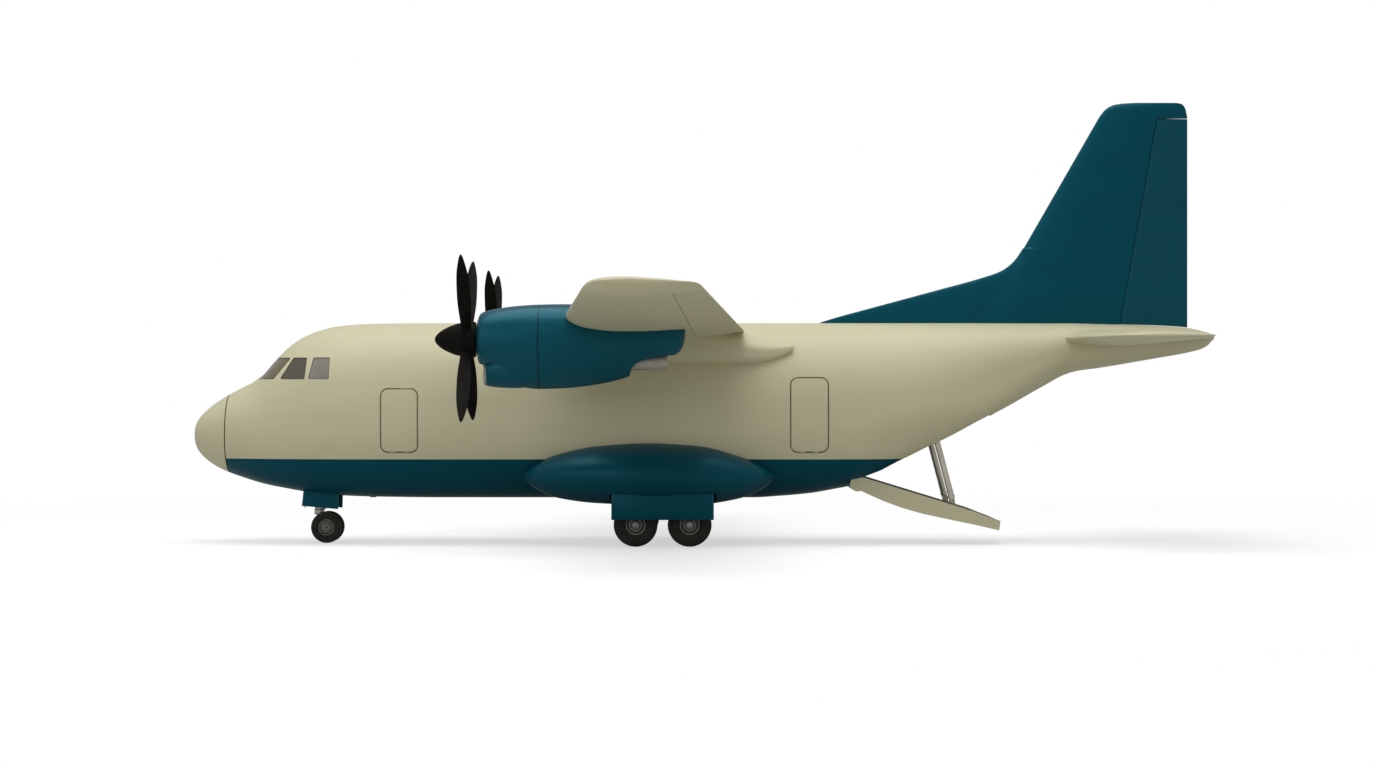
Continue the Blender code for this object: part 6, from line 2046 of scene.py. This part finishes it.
ramp = prism("ramp_body_skin", RAMP_TOP + RAMP_UNDERSIDE, -RAMP_HALF, RAMP_HALF)
ends = [(RAMP_HINGE.x, side * RAMP_HALF, RAMP_HINGE.z) for _, side in SIDES]
weld(ramp, rod("ramp_drum", *ends, RAMP_DRUM, 72, 0.006))
for name, side in SIDES:
    x, z = STRUT_PIN.x, STRUT_PIN.z
    y = side * (STRUT_Y - 0.13)
    lug = ((x - 0.12, z - 0.30), (x + 0.12, z - 0.35), (x + 0.06, z + 0.06), (x - 0.06, z + 0.06))
    weld(ramp, prism(f"strut_lug_{name}", rounded(lug, 0.04, 6), y - 0.025, y + 0.025))
show(ramp, "ramp_body", cream_paint, ("ramp",), even=True)


def ramp_deck():
    """A grey deck plate on the ramp, with its dark edge rails and rows of cleats."""
    (x0, z0), (x1, z1) = RAMP_TOP[1], RAMP_TOP[2]
    slope = (z1 - z0) / (x1 - x0)
    up = Vector((-slope, 0.0, 1.0)).normalized()
    plates, rails, points = [], [], []
    for (xa, za), (xb, zb) in zip(RAMP_TOP[1:], RAMP_TOP[2:]):
        plate, rail = (
            ((xa, za - DECK_SUNK), (xb, zb - DECK_SUNK), (xb, zb + lift), (xa, za + lift))
            for lift in (DECK_THICK, RAIL_THICK)
        )
        inner = RAMP_HALF - RAIL_WIDTH
        plates.append(prism("deck_plate", plate, -inner, inner))
        for _, side in SIDES:
            rails.append(prism("edge_rail", rail, side * inner, side * (RAMP_HALF - 0.002)))
    for i in range(CLEAT_ROWS):
        x = x0 + 0.12 + (x1 - x0 - 0.2) * i / (CLEAT_ROWS - 1)
        z = z0 + slope * (x - x0) + DECK_THICK
        for j in range(CLEAT_COLUMNS):
            y = CLEAT_PITCH * (j - (CLEAT_COLUMNS - 1) / 2)
            points.append((Vector((x, y, z + 0.004)), up))
    show(gather(*plates, name="ramp_deck_plate"), "ramp_body", deck_grey)
    show(gather(*rails, name="ramp_edge_rails"), "ramp_body", rail_rubber)
    lugs("ramp_cleats", points, "ramp_body", deck_grey, CLEAT_SIZE)


ramp_deck()

# %% [markdown]
# ## Rear door
# Behind the ramp one more panel of belly skin closes the opening. It is cut from a slab of the
# skin, with its rear end leaning forward so that its corners clear the frame as it swings up.

# %% Rear door
CARGO_RELIEF = ((8.962, 4.30), (9.20, 4.30), (9.20, 4.70), (8.706, 4.70))
wide, narrow = CARGO_DOOR_WIDTHS
outline = ((OPENING_SPLIT, -wide), (CARGO_DOOR_END, -narrow), (CARGO_DOOR_END, narrow), (OPENING_SPLIT, wide))
rear_door = prism("rear_door_skin", outline, 2.8, 4.85, "Z", EDGE)
common(rear_door, skin_slab("rear_door_slab", 6.4, 9.4, 0.0, WALL))
cut(rear_door, prism("relief", CARGO_RELIEF, -1.0, 1.0, "Y", EDGE))
show(rear_door, "cargo_door_body", [cream_paint, lining, cream_paint], ("aft_cargo_door",))

# %% [markdown]
# ## Ramp struts
# A telescoping strut on each side holds the ramp. Its barrel swings on a trunnion in the wall,
# and its long rod slides through, down to a lug on the ramp. The pin's head stands outside the
# eye. A hair of room is left between rod and bore, so that the two never share a surface.

# %% Struts
ROD_RADIUS = 0.075
BARREL_RADIUS = 0.115
BARREL_HALF = 0.17
BORE_GAP = 0.002


def strut(name, side):
    """One strut's barrel and rod."""
    lean = (STRUT_PIN - STRUT_TOP).normalized()
    top = STRUT_TOP + Vector((0.0, side * STRUT_Y, 0.0))
    pin = STRUT_PIN + Vector((0.0, side * STRUT_Y, 0.0))
    outward = Vector((0.0, side, 0.0))
    half = BARREL_HALF
    near = [(ROD_RADIUS + BORE_GAP, half), (0.10, half), (BARREL_RADIUS, half - 0.012)]
    near += [(BARREL_RADIUS, half - 0.06), (0.108, half - 0.066)]
    profile = [(-along, out) for out, along in near] + [(along, out) for out, along in near[::-1]]
    barrel = turned(f"strut_barrel_{name}", profile, top, lean, 64, ring=True)
    trunnion = rod("trunnion", top + outward * 0.1, top + outward * 0.32, 0.04, 32)
    body = f"strut_barrel_body_{name}"
    show(gather(barrel, trunnion), body, strut_metal, (f"ramp_strut_barrel_{name}",), 35.0)
    shaft = rod(f"strut_rod_{name}", top - lean * (half - 0.01), pin - lean * 0.03, ROD_RADIUS, 64, 0.004)
    eye = rod("eye", pin - outward * 0.08, pin + outward * 0.06, 0.06, 40, 0.006)
    collar = rod("collar", pin - lean * 0.13, pin - lean * 0.08, ROD_RADIUS + 0.012, 48, 0.006)
    body = f"strut_rod_body_{name}"
    show(gather(shaft, eye, collar), body, strut_metal, (f"ramp_strut_rod_{name}",), 35.0)
    head = [(pin + outward * 0.06, outward)]
    bolts(f"strut_pin_{name}", head, body, rim_metal, 0.035, 0.016)


both_sides(strut)

# %% [markdown]
# ## Inside
# The floor and the flight deck stay as they are in the frame and only get their finishes. The
# hold gets rows of tie-down fittings, and frames round its walls where the lining is fixed.

# %% Floor, flight deck and frames
FLOOR_TOP = 1.69
FRAME_HALF = 0.03
FRAME_PLACES = (3.10, 3.9, 4.7, 5.2, 6.1, 6.9, 7.7, 8.5)
TIE_ROWS = (-1.1, -0.55, 0.0, 0.55, 1.1)
for node_name in ("cabin_floor", "flight_deck"):
    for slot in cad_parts[node_name].material_slots:
        slot.material = deck_grey

up = Vector((0.0, 0.0, 1.0))
tie_points = [(Vector((x, y, FLOOR_TOP + 0.001)), up) for x in spaced(-7.8, 3.2, 0.6) for y in TIE_ROWS]
bolts("floor_fittings", tie_points, "airframe", rim_metal, 0.035, 0.008)


def hold_frame(x):
    """A thin hoop round the inside of the hold, left open at the bottom behind the ramp's hinge."""
    outer = [hull_ring(place, WALL + 0.001, 72) for place in (x - FRAME_HALF, x + FRAME_HALF)]
    inner = [hull_ring(place, WALL + 0.035, 72) for place in (x - FRAME_HALF - 0.05, x + FRAME_HALF + 0.05)]
    hoop = cut(loft("hoop", outer), loft("hoop_room", inner))
    if x > OPENING_FRONT:
        cut(hoop, block("hoop_end", x - 0.2, x + 0.2, -FAR_SIDE, FAR_SIDE, 0.5, hull_row(x)[1] + 1.1))
    return hoop


hoops = [hold_frame(x) for x in FRAME_PLACES]
show(gather(*hoops, name="hold_frames"), "airframe", lining)

# %% [markdown]
# ## Stage and light
# The aeroplane stands on a wide white floor. Far away the floor takes on the colour of the sky,
# so no horizon shows. Light that bounces off the floor is held back, or it would wash out the
# belly's shade. One large soft light overhead makes the top bright and lays a soft shadow under
# the belly, and a weak one beside the camera lifts the near side.

# %% Stage and light
PALE = (1.0, 1.0, 1.0)
SKY_LIGHT = 0.45
FLOOR_HALF = 1200.0
FADE_START, FADE_END = 14.0, 34.0
FLOOR_SEEN, FLOOR_BOUNCE = (0.50, 0.50, 0.50), (0.54, 0.54, 0.51)
FLOOR_GLOW = 0.58
LIGHTS = (
    ("overhead", (-4.0, -8.0, 45.0), (0.0, 0.0, 2.0), 38.0, 13000.0),
    ("beside_camera", (-34.0, -56.0, 20.0), (0.0, 0.0, 3.0), 30.0, 3000.0),
)

ground = block("floor", -FLOOR_HALF, FLOOR_HALF, -FLOOR_HALF, FLOOR_HALF, -0.5, 0.0)
coat = Finish("floor_finish", {"Roughness": 0.9, "Specular IOR Level": 0.1})
direct = coat.nodes.new("ShaderNodeLightPath").outputs["Is Camera Ray"]
coat.colour(coat.mix(direct, FLOOR_BOUNCE, FLOOR_SEEN))
coat.shader.inputs["Emission Color"].default_value = (*PALE, 1.0)
coat.links.new(coat.math("MULTIPLY", direct, FLOOR_GLOW), coat.shader.inputs["Emission Strength"])
glow = coat.nodes.new("ShaderNodeEmission")
glow.inputs["Color"].default_value = (*PALE, 1.0)
blend = coat.nodes.new("ShaderNodeMixShader")
squares = [coat.math("POWER", coat.axis(letter), 2.0) for letter in ("X", "Y")]
reach = coat.math("SQRT", coat.math("ADD", *squares))
fade = coat.math("DIVIDE", coat.math("SUBTRACT", reach, FADE_START), FADE_END - FADE_START, True)
coat.links.new(coat.math("MULTIPLY", fade, direct), blend.inputs[0])
coat.links.new(coat.shader.outputs[0], blend.inputs[1])
coat.links.new(glow.outputs[0], blend.inputs[2])
coat.links.new(blend.outputs[0], coat.nodes["Material Output"].inputs["Surface"])
ground.data.materials[0] = coat.material

world = bpy.data.worlds.new("pale_sky")
bpy.context.scene.world = world
world.use_nodes = True
nodes, links = world.node_tree.nodes, world.node_tree.links
seen = nodes["Background"]
seen.inputs["Color"].default_value = (*PALE, 1.0)
lit = nodes.new("ShaderNodeBackground")
lit.inputs["Color"].default_value = (*PALE, 1.0)
lit.inputs["Strength"].default_value = SKY_LIGHT
choice = nodes.new("ShaderNodeMixShader")
links.new(nodes.new("ShaderNodeLightPath").outputs["Is Camera Ray"], choice.inputs[0])
links.new(lit.outputs[0], choice.inputs[1])
links.new(seen.outputs[0], choice.inputs[2])
links.new(choice.outputs[0], nodes["World Output"].inputs["Surface"])
bpy.context.scene.view_settings.view_transform = "Standard"


def soft_light(name, place, aim, size, power):
    """A square area light that looks at a point."""
    data = bpy.data.lights.new(name, "AREA")
    data.size = size
    data.energy = power
    light = bpy.data.objects.new(name, data)
    light.location = place
    light.rotation_euler = (Vector(aim) - Vector(place)).to_track_quat("-Z", "Y").to_euler()
    bpy.context.scene.collection.objects.link(light)


for light in LIGHTS:
    soft_light(*light)
